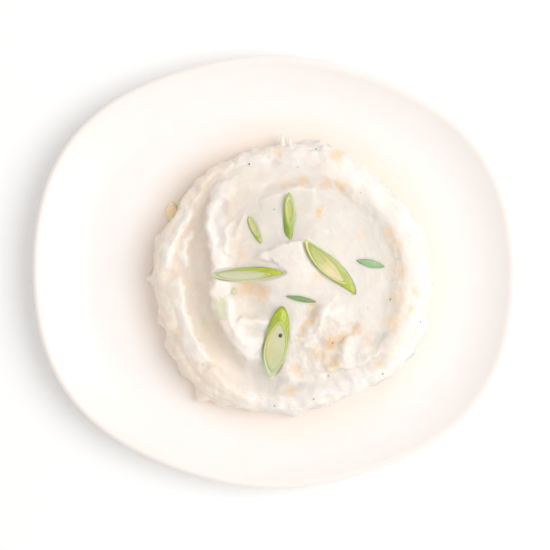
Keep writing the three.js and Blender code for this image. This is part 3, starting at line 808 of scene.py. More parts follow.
def bend_of(x, y):
    """How far the swirl stands above its surroundings at points in shares of the radius, in millimetres."""
    line = np.linspace(-RASTER_HALF, RASTER_HALF, RASTER)
    raster_x, raster_y = np.meshgrid(line, line, indexing="ij")
    heights = swirl_shape(raster_x, raster_y, raster_x, raster_y)[0] * MASH_HEIGHT / MM
    bend = heights - blurred(heights, BEND_CELLS)
    cells = RASTER - 1
    column = np.clip((x + RASTER_HALF) / (2 * RASTER_HALF) * cells, 0, cells - TINY)
    row = np.clip((y + RASTER_HALF) / (2 * RASTER_HALF) * cells, 0, cells - TINY)
    i, j = column.astype(int), row.astype(int)
    u, v = column - i, row - j
    near = bend[i, j] * (1 - v) + bend[i, j + 1] * v
    far = bend[i + 1, j] * (1 - v) + bend[i + 1, j + 1] * v
    return near * (1 - u) + far * u


curve = bend_of(nicked_x, nicked_y)
wall = smoothstep(grid_share, *WALL_BAND)
crest = smoothstep(curve, *CREST_BEND) * (1 - wall)
from_break = (mash_x - BROKEN_AT[0]) ** 2 / BROKEN_SPREAD[0] + (mash_y - BROKEN_AT[1]) ** 2 / BROKEN_SPREAD[1]
broken_middle = BROKEN * np.exp(-from_break)
rough = np.clip(0.06 + 0.9 * wall + 0.4 * crest + broken_middle, 0, 1)
print("rough share of the mound", round(float(rough.mean()), 2))

# %% [markdown]
# ### Lumps, layers and drag marks
#
# Kinds of noise are then weighed by the mask: broad lumps, creases that run round the wall, clots in the
# broken middle, a little grain, and fine drag lines that run with the stroke. Creases and clots are noise
# folded at its middle, which turns every crossing into a thin valley. Noise that follows the wall reads the
# way round and the way up it, and not the place in space, so it stretches along the wall as dragged mash
# does.

# %% Noise of each kind
LUMP = 9 * MM
LAYER_LONG = 16 * MM
LAYER_HIGH = 4.2 * MM
CLOT = 5 * MM
GRAIN = 3.2 * MM
FINE = 1.3 * MM
DRAG_LINES = 46  # from the middle to the edge
DRAG_TURNS = 2.2  # how soon a drag line ends

lumps = cloud(mash_points, LUMP, seed=3.1)
side_length = grid_out * (MASH_RADIUS + MASH_HEIGHT)
round_turn = np.stack([np.cos(grid_angle), np.sin(grid_angle), 0 * grid_angle], -1)
turning = round_turn[..., :2] * (MASH_RADIUS / LAYER_LONG)
layer_place = np.concatenate([turning, side_length[..., None] / LAYER_HIGH + 0.6 * lumps[..., None]], -1)
layers = 0.6 - 2 * np.abs(cloud(layer_place, 1.0, seed=23.9))
clots = np.abs(cloud(mash_points, CLOT, seed=55.1, octaves=3)) - 0.25
grain = cloud(mash_points, GRAIN, seed=17.7)
fine = cloud(mash_points, FINE, seed=41.3)
drag_place = round_turn[..., [2, 0, 1]] * DRAG_TURNS + unit_radius[..., None] * [DRAG_LINES, 0, 0]
drag = cloud(drag_place, 1.0, seed=7.9)
print("lumps from", round(lumps.min(), 2), "to", round(lumps.max(), 2))

# %% Push the skin out and in
# In millimetres for each kind: where the spoon smoothed it, and what full roughness adds.
LUMP_PUSH = (0.25, 0.9)
GRAIN_PUSH = (0.04, 0.2)
FINE_PUSH = (0.01, 0.07)
DRAG_PUSH = (0.08, -0.08)
LAYER_PUSH = 0.5
CLOT_PUSH = 1.6
CLOTS_ON_WALL = 0.12  # as a share of the broken middle's


def normals_of(points):
    """The upward direction of a grid of points."""
    facing = np.cross(np.gradient(points, axis=0), np.gradient(points, axis=1))
    return facing / np.maximum(np.linalg.norm(facing, axis=-1, keepdims=True), TINY**2)


push = layers * LAYER_PUSH * np.maximum(wall, 0.5 * broken_middle)
push += clots * CLOT_PUSH * np.maximum(broken_middle, CLOTS_ON_WALL * wall)
weighed = ((lumps, LUMP_PUSH), (grain, GRAIN_PUSH), (fine, FINE_PUSH), (drag, DRAG_PUSH))
for noises, (smooth, added) in weighed:
    push += noises * (smooth + added * rough)
push *= MM
mash_points += normals_of(mash_points) * push[..., None]
print("push from", round(push.min() / MM, 2), "to", round(push.max() / MM, 2), "mm")

# %% [markdown]
# ### Tugs at the edge
#
# The mash was dropped and dragged, so its edge has wisps, knobs and notches, and the foot of the wall tucks
# in under a soft bulge. Each tug pulls the wall outwards, or in, over a few degrees and at one height.
# Between them, noise makes the rest of the edge ragged, and a second, slower noise leaves some stretches of
# it calm.

# %% Tug the edge
# Each: angle in degrees, height as a share of the mound's, pull in mm, and its spread in mm along the edge
# and up the wall.
TUGS = (
    (179.6, 0.16, 3.0, 1.5, 3.0), (171, 0.15, -1.0, 3.0, 5.0), (197.9, 0.14, 2.0, 2.0, 3.5),
    (190, 0.14, -0.9, 2.5, 5.0), (208, 0.14, 1.0, 3.0, 4.0), (232.6, 0.12, 2.6, 3.0, 3.5),
    (240, 0.12, 1.5, 3.0, 4.0), (224, 0.14, -0.8, 4.0, 5.0), (163, 0.16, 1.4, 2.5, 4.0),
    (153, 0.15, -0.8, 2.0, 4.0), (134, 0.15, 1.0, 3.0, 4.0), (121, 0.15, 1.3, 2.0, 3.0),
    (93.0, 0.2, 5.5, 0.8, 1.6), (90.1, 0.17, 4.2, 0.8, 1.6), (77.6, 0.16, 2.0, 1.8, 2.5),
    (66, 0.15, 1.2, 2.5, 4.0), (253, 0.1, 1.3, 4.0, 3.0), (262, 0.1, 1.0, 2.5, 3.0),
    (272, 0.12, 1.2, 3.5, 3.0), (105, 0.15, 1.2, 2.0, 3.0),
)
RAGGED = 1.4 * MM  # how far the edge juts out at random
RAGGED_ROUND = 7.5 * MM  # the size of one jut, round the mound
RAGGED_UP = 14 * MM  # and up its wall
RAGGED_STRETCH = 18 * MM  # the length of a ragged or a calm stretch
TUCK = 0.1 * MM  # how far the foot is drawn in under the bulge
TUCK_HEIGHT = 6 * MM


def tug_edge(points, angle):
    """Pulls the wall out and in, and tucks its foot under."""
    high = (points[..., 2] - PLATE_FLOOR) / MASH_HEIGHT
    pull = -TUCK * np.exp(-((high * MASH_HEIGHT / TUCK_HEIGHT) ** 2))
    for turn, height, reach, along, up in TUGS:
        past = np.angle(np.exp(1j * (angle - math.radians(turn)))) * MASH_RADIUS
        above = (high - height) * MASH_HEIGHT
        pull = pull + reach * MM * np.exp(-((past / (along * MM)) ** 2) - (above / (up * MM)) ** 2)
    round_place = turning * (LAYER_LONG / RAGGED_ROUND)
    wall_place = np.concatenate([round_place, side_length[..., None] / RAGGED_UP], -1)
    ragged = cloud(wall_place, 1.0, seed=88.2)
    stretch = 0.5 + 0.7 * cloud(round_turn * (MASH_RADIUS / RAGGED_STRETCH), 1.0, seed=5.7)
    pull = pull + RAGGED * (np.maximum(ragged, 0) * 2.2 - 0.25) * stretch
    pull = pull * smoothstep(grid_share, 0.88, 0.98)
    points[..., 0] += pull * np.cos(angle)
    points[..., 1] += pull * np.sin(angle)


tug_edge(mash_points, grid_angle)
print("tugs", len(TUGS))

# %% Press the beds and seat the edge
BED_MARGIN = -0.35 * MM  # how far past a slice's edge its bed is flat: it stops just inside it
BED_BLEND = 1.25 * MM  # over how much the bed then rises to the swirl
SINK = 0.12 * MM  # how deep a slice sits in the mash
SEAT = 0.1 * MM  # how deep the mound's edge is set in the glaze

for lie in lies.values():
    x, y = mash_points[..., 0], mash_points[..., 1]
    pressed = 1 - smoothstep(lie.beyond(x, y), BED_MARGIN, BED_MARGIN + BED_BLEND)
    mash_points[..., 2] += (lie.under(x, y) + SINK - mash_points[..., 2]) * pressed
mash_points[..., 2] = np.maximum(mash_points[..., 2], PLATE_FLOOR)
edge = grid_out > 1 - TINY
mash_points[edge, 2] = PLATE_FLOOR - SEAT
print("mound top", round(mash_points[..., 2].max() / MM, 1), "mm")

# %% [markdown]
# ### The mash's look
#
# Mashed potato is a wet starch paste full of air and fat. Light goes a few millimetres in and comes out
# warm, which softens every shadow, so subsurface scattering does most of the work. Where the spoon smoothed
# it, it is wet and a little see-through, so it looks greyer. Torn edges and crests are dry and almost
# white, and an attribute says where they are; that attribute also paints highlights on crests, lips and
# lumps, and lightens shaded places. Butter shows as cream and peach, and its attribute also carries painted
# warm shade. Leaf under the surface shows as green.

# %% Mash material
MASH_SMOOTH = "#E7E0D8"
# dry, torn mash, and also painted highlight on crests, lips and lumps, and painted light over shaded places
MASH_DRY_HIGHLIT = "#F7F0EB"
MASH_CREAM = "#ECE0D0"
# butter, and also painted warm shade on the left side and in the clefts
MASH_BUTTER_AND_SHADE = "#F0D0A4"
MASH_GREEN = "#DEE0BE"
SCATTER_DEPTH = 3.0 * MM
CREAM_PATCH = 14 * MM
GRIT = 0.7 * MM  # the potato's own grain
GRIT_DEPTH = 0.12 * MM


def mashed():
    """Mashed potato."""
    material, tree, shader = new_material("mashed potato")
    place = add(tree, "ShaderNodeTexCoord").outputs["Object"]
    patches = add(tree, "ShaderNodeTexNoise", {"Vector": place, "Scale": 1 / CREAM_PATCH, "Detail": 3.0})
    cream_range = {"Value": patches, "From Min": 0.45, "From Max": 0.75, "To Max": 0.5}
    creamy = add(tree, "ShaderNodeMapRange", cream_range)
    marks = {}
    for name in ("torn", "butter_and_shade", "green"):
        marks[name] = add(tree, "ShaderNodeAttribute", attribute_name=name).outputs["Fac"]
    # The torn mark is dry mash and also painted highlight and lifted shade; the butter mark is butter and
    # also painted warm shade.
    coats = ((marks["torn"], MASH_DRY_HIGHLIT), (creamy, MASH_CREAM))
    coats += ((marks["butter_and_shade"], MASH_BUTTER_AND_SHADE), (marks["green"], MASH_GREEN))
    colour = linear(MASH_SMOOTH)
    for share, over in coats:
        mixed = add(tree, "ShaderNodeMix", {0: share, 6: colour, 7: linear(over)}, data_type="RGBA")
        colour = mixed.outputs[2]
    tree.links.new(colour, shader.inputs["Base Color"])
    grit = add(tree, "ShaderNodeTexNoise", {"Vector": place, "Scale": 1 / GRIT, "Detail": 2.0})
    bump = add(tree, "ShaderNodeBump", {"Height": grit, "Strength": 0.25, "Distance": GRIT_DEPTH})
    tree.links.new(bump.outputs[0], shader.inputs["Normal"])
    shader.inputs["Roughness"].default_value = 0.5
    shader.inputs["IOR"].default_value = 1.4
    shader.inputs["Subsurface Weight"].default_value = 0.85
    shader.inputs["Subsurface Radius"].default_value = (1.0, 0.72, 0.45)
    shader.inputs["Subsurface Scale"].default_value = SCATTER_DEPTH
    return material


mash_material = mashed()

# %% [markdown]
# ### Stains of butter and sweet pepper, and painted shade
#
# Melted butter and the juice of stirred-in sweet pepper gather in clefts. A few wide stains are painted shade
# instead: along the ring's inner foot, and warm shade low on the left of the side wall. Each stain is a soft
# ragged spot, kept as an attribute of the mesh, which the material reads as how much butter the mash has. An
# attribute is used because a texture in space can't be told where the clefts are, and the grid that made
# the mound can.

# %% Where the stains are
# Each: x and y in shares of the mound's radius, size in millimetres, and strength.
STAINS_AND_SHADE = (
    (-0.3, -0.05, 9, 0.7), (-0.21, -0.09, 9, 0.6), (-0.39, -0.08, 5, 0.6), (-0.34, 0.18, 4, 0.5),
    (0.21, 0.48, 4.5, 1.0), (0.365, 0.686, 7, 0.6), (0.25, 0.7, 7, 0.4), (0.081, 0.7, 7, 0.5),
    (-0.04, 0.68, 7, 0.3), (0.338, 0.9, 7, 0.6), (-0.09, 0.92, 5, 0.35), (0.711, 0.345, 7, 0.5),
    (0.5, 0.33, 6, 0.3), (0.296, -0.445, 6, 1.0), (0.37, -0.41, 6, 0.65), (0.46, -0.35, 6, 0.65),
    (0.165, -0.18, 4, 0.6), (0.155, -0.235, 4, 0.7), (0.13, -0.29, 4, 0.75), (0.1, -0.34, 4, 0.7),
    (0.07, -0.39, 4, 0.5), (0.04, -0.63, 6, 0.5), (0.0, -0.8, 6, 0.5), (0.91, -0.09, 5, 0.5),
    # (-0.82, -0.27) and (-0.8, -0.38), on the lower left of the side wall, are painted warm shade.
    (0.88, -0.2, 5, 0.4), (-0.82, -0.27, 5, 0.5), (-0.8, -0.38, 7, 0.6), (0.3, -0.58, 9, 0.5),
    (0.22, -0.53, 9, 0.4), (0.62, -0.6, 6, 0.4), (0.55, -0.42, 6, 0.3), (-0.84, 0.53, 8, 0.6),
    # These four wide ones along the ring's inner foot are painted shade of its inner wall.
    (0.74, -0.3, 10, 0.35), (0.79, -0.12, 10, 0.3), (0.79, 0.08, 10, 0.28), (0.76, 0.25, 9, 0.25),
    # (-0.55, -0.85), low on the front left of the side wall, is painted warm shade.
    (-0.55, -0.85, 6, 0.3), (0.18, 0.02, 6, 0.3),
)
# Leaf under a film of mash.
GREEN_STAINS = ((-0.475, -0.175, 7.5, 0.75), (-0.455, -0.235, 5, 0.75), (-0.61, -0.29, 4.5, 0.75))
STAIN_RAGGED = 0.03  # how far a stain's edge strays, in shares of the radius
BUTTER_FADE = (0.2, 1.3)  # a stain is full up to the first, and gone at the second, times its half size
LEAF_FADE = (0.6, 1.2)


def stained(stains, start, end):
    """How stained each point is, by soft spots that fade out from start to end times their half size."""
    x = mash_x + STAIN_RAGGED * grain
    y = mash_y + STAIN_RAGGED * fine
    deepest = 0 * x
    for middle_x, middle_y, size, strength in stains:
        distance = np.hypot(x - middle_x, y - middle_y) * MASH_RADIUS / (size / 2 * MM)
        deepest = np.maximum(deepest, strength * (1 - smoothstep(distance, start, end)))
    return deepest


butter_and_shade_stains = stained(STAINS_AND_SHADE, *BUTTER_FADE)
green = stained(GREEN_STAINS, *LEAF_FADE)
print("stains", len(STAINS_AND_SHADE) + len(GREEN_STAINS))

# %% [markdown]
# ### Wet and dry, and painted highlight and shade
#
# Mash dries first where it stands up or was torn: on the side wall, the crests and the lips, round the
# back, and on the lumps of the middle. Fine streaks of drier mash follow the stroke round. The same mask is
# also painted light: it whitens the crests, lips and lumps of the middle as painted highlights, and lightens
# the back and the smoothed channel against their shade. What is dry also has less butter, and the butter
# mask also carries painted warm shade on the whole left side and in the clefts.

# %% Where the mash is dry, and where butter lies
# These lips and lumps are dry, and they are also painted lighter as a highlight.
DRY_HIGHLIT_FOLDS = ("outer lip, left", "outer lip, front left", "second lip", "inner lip", "front left ridge")
DRY_HIGHLIT_DABS = ("middle hump", "lump by the cleft", "lump right of it", "bright lump")
STREAK_LONG = 12 * MM
STREAK_WIDE = 3.5 * MM
WARM_SHADE_LEFT = 0.24  # painted warm shade over the whole left side, the side away from the window
BUTTER_AND_SHADE_DEEP = 0.3  # and in the clefts: butter, with painted crease shade
BUTTER_DRIED = 0.8  # how much of its butter a dry lip has lost

fold_shares = [fold_shape(FOLDS[name], nicked_x, nicked_y)[0] / FOLDS[name][1] for name in DRY_HIGHLIT_FOLDS]
dab_shares = [dab_rise(DABS[name], mash_x, mash_y) / DABS[name][3] for name in DRY_HIGHLIT_DABS]
dry_highlit_lips = smoothstep(np.max(fold_shares, axis=0), 0.25, 0.75)
channel = fold_shape(FOLDS["channel"], mash_x, mash_y)[0] / FOLDS["channel"][1]
streak_place = round_turn / STREAK_LONG + unit_radius[..., None] * [0, 0, 1 / STREAK_WIDE]
streak_place = streak_place * MASH_RADIUS + 0.5 * lumps[..., None]
streaks = smoothstep(cloud(streak_place, 1.0, seed=71.3, octaves=3), 0.0, 0.5)
dried_and_highlit_by = (  # how much each dries the mash and paints it lighter, where 1 is dry and white
    (1.0, wall), (0.6, smoothstep(curve, 0.1, 0.8)), (0.3, broken_middle),
    (0.5, smoothstep(mash_y, 0.55, 0.85)), (0.5, channel), (1.1, dry_highlit_lips), (0.24, streaks),
    (0.6, np.max(dab_shares, axis=0)),
)
# The torn mask: dry mash, with painted highlight and painted light over shade.
torn = sum(weight * share for weight, share in dried_and_highlit_by)
# Painted shade: the clefts and the whole left side are tinted warm, partly as butter and partly as shade.
deep = smoothstep(-curve, 0.15, 1.2) * (1 - wall) * smoothstep(lumps, -0.2, 0.5)
butter_and_shade = np.maximum(BUTTER_AND_SHADE_DEEP * deep, WARM_SHADE_LEFT * smoothstep(-mash_x, 0.1, 0.6))
butter_and_shade = np.maximum(butter_and_shade, butter_and_shade_stains) * (1 - BUTTER_DRIED * dry_highlit_lips)
print("dry", round(float(np.clip(torn, 0, 1).mean()), 2), "painted_shade", round(float(butter_and_shade.mean()), 2))

# %% Mound piece
def mark(mesh, name, values):
    """Keeps a number for each vertex of a mesh, which its material can read by name."""
    values = np.broadcast_to(np.asarray(values, np.float32), len(mesh.vertices))
    mesh.attributes.new(name, "FLOAT", "POINT").data.foreach_set("value", np.ascontiguousarray(values))


def grid_mesh(name, points):
    """A mesh from a square grid of points, closed underneath by a fan from the middle of its base."""
    count = points.shape[0]
    index = np.arange(count * count).reshape(count, count)
    quads = np.stack([index[:-1, :-1], index[1:, :-1], index[1:, 1:], index[:-1, 1:]], -1).reshape(-1, 4)
    border = np.concatenate([index[:-1, 0], index[-1, :-1], index[:0:-1, -1], index[0, :0:-1]])
    base = np.append(points.reshape(-1, 3)[border].mean(0)[:2], points[0, 0, 2])
    fan = [(int(b), int(a), count * count) for a, b in zip(border, np.roll(border, -1))]
    mesh = bpy.data.meshes.new(name)
    mesh.from_pydata(np.vstack([points.reshape(-1, 3), base]).tolist(), [], quads.tolist() + fan)
    mesh.shade_smooth()
    mesh.update()
    return mesh


mash_mesh = grid_mesh("mashed_potato", mash_points)
# The torn mark also holds painted highlight and lifted shade, and the butter mark also holds painted warm
# shade.
for name, values in {"butter_and_shade": butter_and_shade, "torn": torn, "green": green}.items():
    mark(mash_mesh, name, np.append(np.clip(values, 0, 1).ravel(), 0))
mash_mesh.materials.append(mash_material)
mash = bpy.data.objects.new("mashed_potato", mash_mesh)
bpy.context.scene.collection.objects.link(mash)
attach(mash, "root")
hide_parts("mash")
print("mound", len(mash_mesh.polygons), "faces,", [round(s / MM, 1) for s in mash.dimensions], "mm")

# %% [markdown]
# ## Spring onion, cut aslant
#
# A spring onion's leaf is a tube. Two slanted cuts leave a long pointed ring whose lower face lies further
# along the slice than its upper one. So from above its green skin shows at one end, and through the hollow
# the pale inside of the wall shows at the other. Each slice is a band of wall lofted round the hollow: up
# the inside, over the cut face and down the skin. An attribute keeps how far across the wall each point is,
# so that the colour can follow.

# %% What each slice looks like
# wall: its width in mm. slant and aside: how far the lower face lies along and across the slice, in mm.
# thick: the slice's height in mm. fill: how high the film in the hollow lies, as a share of that.
# lime: how yellow-green the skin is. pale: how pale it is, and how that changes along and across.
# streaky: how much the film is like the wall's own flesh. peach and glow: how warm the film is, and how much
# it is lit through by the green wall.
CUTS = {
    "spring_onion_1": dict(wall=0.85, slant=5.0, aside=-0.6, thick=1.9, fill=0.78),
    "spring_onion_2": dict(wall=0.50, slant=2.6, aside=0.0, thick=1.2, fill=0.8),
    "spring_onion_3": dict(wall=0.40, slant=6.0, aside=1.5, thick=1.9, fill=0.8),
    "spring_onion_4": dict(wall=0.42, slant=6.0, aside=2.6, thick=2.1, fill=0.82),
    "spring_onion_7": dict(wall=0.75, slant=5.5, aside=0.0, thick=2.1, fill=0.8),
}
TINTS = {
    "spring_onion_1": dict(lime=-0.1, pale=(0.05, -0.1, 0.6), streaky=0.1, peach=0.5, glow=1.0),
    "spring_onion_2": dict(lime=0.45, pale=(0.3, 0.0, 0.2), streaky=0.1, peach=0.5, glow=0.5),
    "spring_onion_3": dict(lime=0.75, pale=(0.35, -0.7, -0.2), streaky=0.0, peach=0.1, glow=0.1),
    "spring_onion_4": dict(lime=0.6, pale=(0.1, 0.1, 0.5), streaky=0.9, peach=1.0, glow=0.0),
    "spring_onion_7": dict(lime=0.6, pale=(0.35, -0.65, 0.1), streaky=0.5, peach=0.2, glow=0.1),
}
print("slices cut open", len(CUTS))

# %% Rings round a slice, and the skin over them
LOFT_STEPS = 96  # points round each ring
CLEAR = 0.99  # of the CAD slice's sizes, so that the piece stays inside them
WANDER = 0.06  # how far a cut edge wavers, as a share of the slice's half width


def lens(angle, half_length, half_width, pointed=POINTEDNESS):
    """A pointed oval."""
    side = np.sin(angle)
    return half_length * np.cos(angle), half_width * side * np.abs(side) ** (2 * pointed - 1)


def band(lie, sections, closed=True):
    """Lofts rings of local points (along, across, up) round a slice, and returns world points and faces. A
    band that isn't closed on itself gets a cap on its first and last ring."""
    rings = np.array(sections)
    count = len(rings)
    world = rings @ lie.axes + lie.middle - lie.up * lie.half[2]
    index = np.arange(count * LOFT_STEPS).reshape(count, LOFT_STEPS)
    here = index if closed else index[:-1]
    after = np.roll(index, -1, 0)[: len(here)]
    corners = (here, np.roll(here, -1, 1), np.roll(after, -1, 1), after)
    quads = np.stack(corners, -1).reshape(-1, 4).tolist()
    if not closed:
        quads += [index[0, ::-1].tolist(), index[-1].tolist()]
    return world.reshape(-1, 3), quads


def oval_ring(lie, cut, inset, high):
    """One ring of a slice's wall: inset from the skin in mm, and high as a share of the slice's height."""
    slant = cut["slant"] * MM
    aside = cut["aside"] * MM
    length = lie.half[0] * CLEAR - slant / 2
    width = lie.half[1] * CLEAR - abs(aside) / 2
    angle = np.linspace(0, 2 * math.pi, LOFT_STEPS, endpoint=False)
    narrow = 1 - inset * MM / width
    x, y = lens(angle, length * narrow, width * narrow)
    wander = WANDER * width * narrow * np.sin(3 * angle + lie.half[0] / MM) * high
    lower = 0.5 - high
    y = y + aside * lower * np.abs(np.sin(angle)) + wander
    return np.stack([x + slant * lower, y, np.full_like(x, high * cut["thick"] * MM)], -1)


print("first slice's ring", len(oval_ring(lies["spring_onion_1"], CUTS["spring_onion_1"], 0, 1)), "points")

# %% The section of a slice's wall
def wall_section(wall):
    """A wall's section, up the inside, over the cut and down the skin. Each step is how far in from the skin
    in mm, how high as a share of the slice, and where across the wall it is: 0 inside and 1 on the skin."""
    rounding = 0.12 * wall
    inside = [(wall, 0.0, 0.0), (wall, 0.35, 0.0), (wall, 0.7, 0.05), (wall, 0.92, 0.12)]
    cut = [(wall - rounding, 0.99, 0.3), (wall * 0.62, 1.02, 0.42)]
    cut += [(wall * 0.34, 1.0, 0.5), (rounding, 0.96, 0.62)]
    skin = [(0.02, 0.85, 0.8), (0.0, 0.6, 0.95), (0.0, 0.3, 1.0), (0.0, 0.0, 1.0), (wall / 2, -0.06, 1.0)]
    return inside + cut + skin


WALL_ACROSS = [across for _, _, across in wall_section(1)]
print("wall", len(WALL_ACROSS), "rings")

# %% The film in a slice's hollow
# How much of the film's own colour each of its rings has, from the middle to the edge and back underneath.
FILM_SHOWS = [1.0, 1.0, 0.95, 0.8, 0.35, 0.35, 1.0]
FILM_THICK = 0.25 * MM
FILM_ACROSS = 0.1  # where across the wall the film's own flesh is like
FILM_EDGE = 0.9  # how high the film clings to the wall, as a share of the slice's height
FILM_OVERLAP = 0.2  # how far it reaches into the wall, as a share of the wall's width
FILM_SPAN = 0.96  # how near the innermost ring comes to the slice's middle line


def film_rings(lie, cut):
    """A thin sheet of inner leaf that spans the hollow and sags a little."""
    wall = cut["wall"]
    hollow = (lie.half[1] / MM - abs(cut["aside"]) / 2) * CLEAR - wall
    rings = []
    for share in (0.0, 0.25, 0.5, 0.75, 1.0):
        inset = wall * (1 - FILM_OVERLAP) + (1 - share) * hollow * FILM_SPAN
        rings.append(oval_ring(lie, cut, inset, cut["fill"] + (FILM_EDGE - cut["fill"]) * share**3))
    return [*rings, rings[-1] - [0, 0, FILM_THICK], rings[0] - [0, 0, FILM_THICK]]


print("film", len(FILM_SHOWS), "rings")

# %% [markdown]
# ### The onion's colours
#
# Fresh spring onion: a thin green skin over pale, wet, stringy flesh. The skin goes from leaf green to lime
# towards the white end. Long fibres run along the tube and show as fine streaks, so the pattern is
# stretched along the slice. It was cut clean with a knife, so it is smooth and wet, and light goes some way
# into it and comes out green.

# %% Onion material
FIBRE = 0.45 * MM  # from one fibre to the next: real ones are finer, and wouldn't show
FIBRE_STRETCH = 0.08  # how fast the pattern changes along the fibres, as a share of across them
FIBRE_DEPTH = 0.08 * MM
INSIDE_PALE = "#CDD59A"
FACE_PALE = "#DDE29C"
SKIN_GREEN = "#9BB43E"
SKIN_LIME = "#C3CC42"
SKIN_PALE = "#CCD6A6"
EDGE_DARK = "#76902F"
FILM_GREEN = "#DADFBD"
FILM_PEACH = "#E2CA96"
FILM_GLOW = "#C9D07A"
LINING = "#DDE39C"  # the bright edge where the cut meets the hollow


def onion():
    """Cut spring onion."""
    material, tree, shader = new_material("cut spring onion")
    marks = {}
    for name in ("across", "lime", "pale", "film", "peach", "glow"):
        marks[name] = add(tree, "ShaderNodeAttribute", attribute_name=name).outputs["Fac"]
    fibre_place = add(tree, "ShaderNodeAttribute", attribute_name="fibre").outputs["Vector"]
    streaks = add(tree, "ShaderNodeTexNoise", {"Vector": fibre_place, "Scale": 1.0, "Detail": 2.0})

    def mixed(share, one, other):
        """One colour turning into another as share goes from 0 to 1."""
        return add(tree, "ShaderNodeMix", {0: share, 6: one, 7: other}, data_type="RGBA").outputs[2]

    def ramp(value, start, end, top=1.0):
        """0 before start, and top after end."""
        settings = {"Value": value, "From Min": start, "From Max": end, "To Max": top}
        return add(tree, "ShaderNodeMapRange", settings)

    green = mixed(marks["lime"], linear(SKIN_GREEN), linear(SKIN_LIME))
    skin = mixed(marks["pale"], green, linear(SKIN_PALE))
    streaked = mixed(ramp(streaks, 0.45, 0.75, 0.6), skin, linear(EDGE_DARK))
    inside = mixed(ramp(streaks, 0.5, 0.8, 0.7), linear(INSIDE_PALE), green)
    inside = mixed(ramp(marks["pale"], -0.6, 1.0), inside, linear(FILM_GREEN))
    inside = mixed(marks["glow"], inside, linear(FILM_GLOW))
    face = mixed(ramp(marks["pale"], 0.9, 0.1, 0.3), skin, linear(FACE_PALE))
    lining = mixed(ramp(marks["pale"], 0.3, 0.9), linear(LINING), linear(SKIN_PALE))
    flesh = mixed(ramp(marks["across"], 0.1, 0.2), inside, lining)
    flesh = mixed(ramp(marks["across"], 0.3, 0.42), flesh, face)
    rim = mixed(ramp(marks["across"], 0.5, 0.62, 0.5), flesh, linear(EDGE_DARK))
    walls = mixed(ramp(marks["across"], 0.66, 0.85), rim, streaked)
    film = mixed(marks["peach"], linear(FILM_GREEN), linear(FILM_PEACH))
    film = mixed(marks["glow"], film, linear(FILM_GLOW))
    colour = mixed(marks["film"], walls, film)
    tree.links.new(colour, shader.inputs["Base Color"])
    bump = add(tree, "ShaderNodeBump", {"Height": streaks, "Strength": 0.3, "Distance": FIBRE_DEPTH})
    tree.links.new(bump.outputs[0], shader.inputs["Normal"])
    shader.inputs["Roughness"].default_value = 0.32
    shader.inputs["Subsurface Weight"].default_value = 0.35
    shader.inputs["Subsurface Radius"].default_value = (0.6, 1.0, 0.25)
    shader.inputs["Subsurface Scale"].default_value = 1.0 * MM
    return material


onion_material = onion()


# %% A piece for a slice
def onion_piece(node, points, quads, marks, lie, material):
    """A slice's mesh with the attributes that its colours read, as a piece that replaces its CAD node."""
    mesh = bpy.data.meshes.new(node.replace("spring_onion", "onion_slice"))
    mesh.from_pydata(points.tolist(), [], quads)
    mesh.shade_smooth()
    mesh.update()
    for name, values in marks.items():
        mark(mesh, name, values)
    local = (points - lie.middle) @ lie.axes.T
    another_place = np.array([0, 0, points[0, 0] / MM])  # so that no two slices have the same streaks
    fibre = (local * [FIBRE_STRETCH, 1.0, 1.0] / FIBRE + another_place).astype(np.float32)
    mesh.attributes.new("fibre", "FLOAT_VECTOR", "POINT").data.foreach_set("vector", fibre.ravel())
    mesh.materials.append(material)
    piece = bpy.data.objects.new(mesh.name, mesh)
    bpy.context.scene.collection.objects.link(piece)
    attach(piece, "root")
    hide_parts(node)
    return piece


print("each slice is", LOFT_STEPS, "steps round")


# %% Open slices
def slice_marks(lie, tint, points, across, film):
    """What a slice's material reads at each point, from how far across its wall and how much film it is."""
    along, aside = ((points - lie.middle) @ lie.axes.T)[:, :2].T / lie.half[:2, None]
    fibres = film * tint["streaky"] * smoothstep(-along, -0.4, 0.6)
    pale, pale_along, pale_aside = tint["pale"]
    return {
        "across": across + 0.9 * fibres,
        "film": film * (1 - fibres),
        "lime": np.clip(tint["lime"] + 0.3 * along, 0, 1),
        "pale": np.clip(pale + pale_along * along + pale_aside * aside, 0, 1),
        "peach": np.clip(tint["peach"] + 0.6 * aside, 0, 1),
        "glow": tint["glow"],
    }


def cut_slice(node):
    """A cut slice: its wall, and the film of inner leaf in its hollow."""
    lie = lies[node]
    cut = CUTS[node]
    wall_rings = [oval_ring(lie, cut, inset, high) for inset, high, _ in wall_section(cut["wall"])]
    wall_points, wall_quads = band(lie, wall_rings)
    film_points, film_quads = band(lie, film_rings(lie, cut), closed=False)
    quads = wall_quads + [[i + len(wall_points) for i in quad] for quad in film_quads]
    quads = [quad[::-1] for quad in quads]  # the rings run up the inside, so their faces come out inwards
    points = np.vstack([wall_points, film_points])
    across = np.repeat(WALL_ACROSS + [FILM_ACROSS] * len(FILM_SHOWS), LOFT_STEPS)
    film = np.repeat([0] * len(WALL_ACROSS) + FILM_SHOWS, LOFT_STEPS)
    marks = slice_marks(lie, TINTS[node], points, across, film)
    return onion_piece(node, points, quads, marks, lie, onion_material)


for node in CUTS:
    piece = cut_slice(node)
    print(piece.name, len(piece.data.polygons), "faces")

# %% [markdown]
# ### Slivers of leaf
#
# Two thin strips of the dark upper leaf landed on the mash as well: solid, pointed at both ends, and waxy.
# Each is a low dome on a pointed oval, with a rib down its middle, so the same rings serve, closed with a
# cap at each end.

# %% Leaf material
LEAF_DARK = "#8BA670"
LEAF_BLUE = "#A3C698"


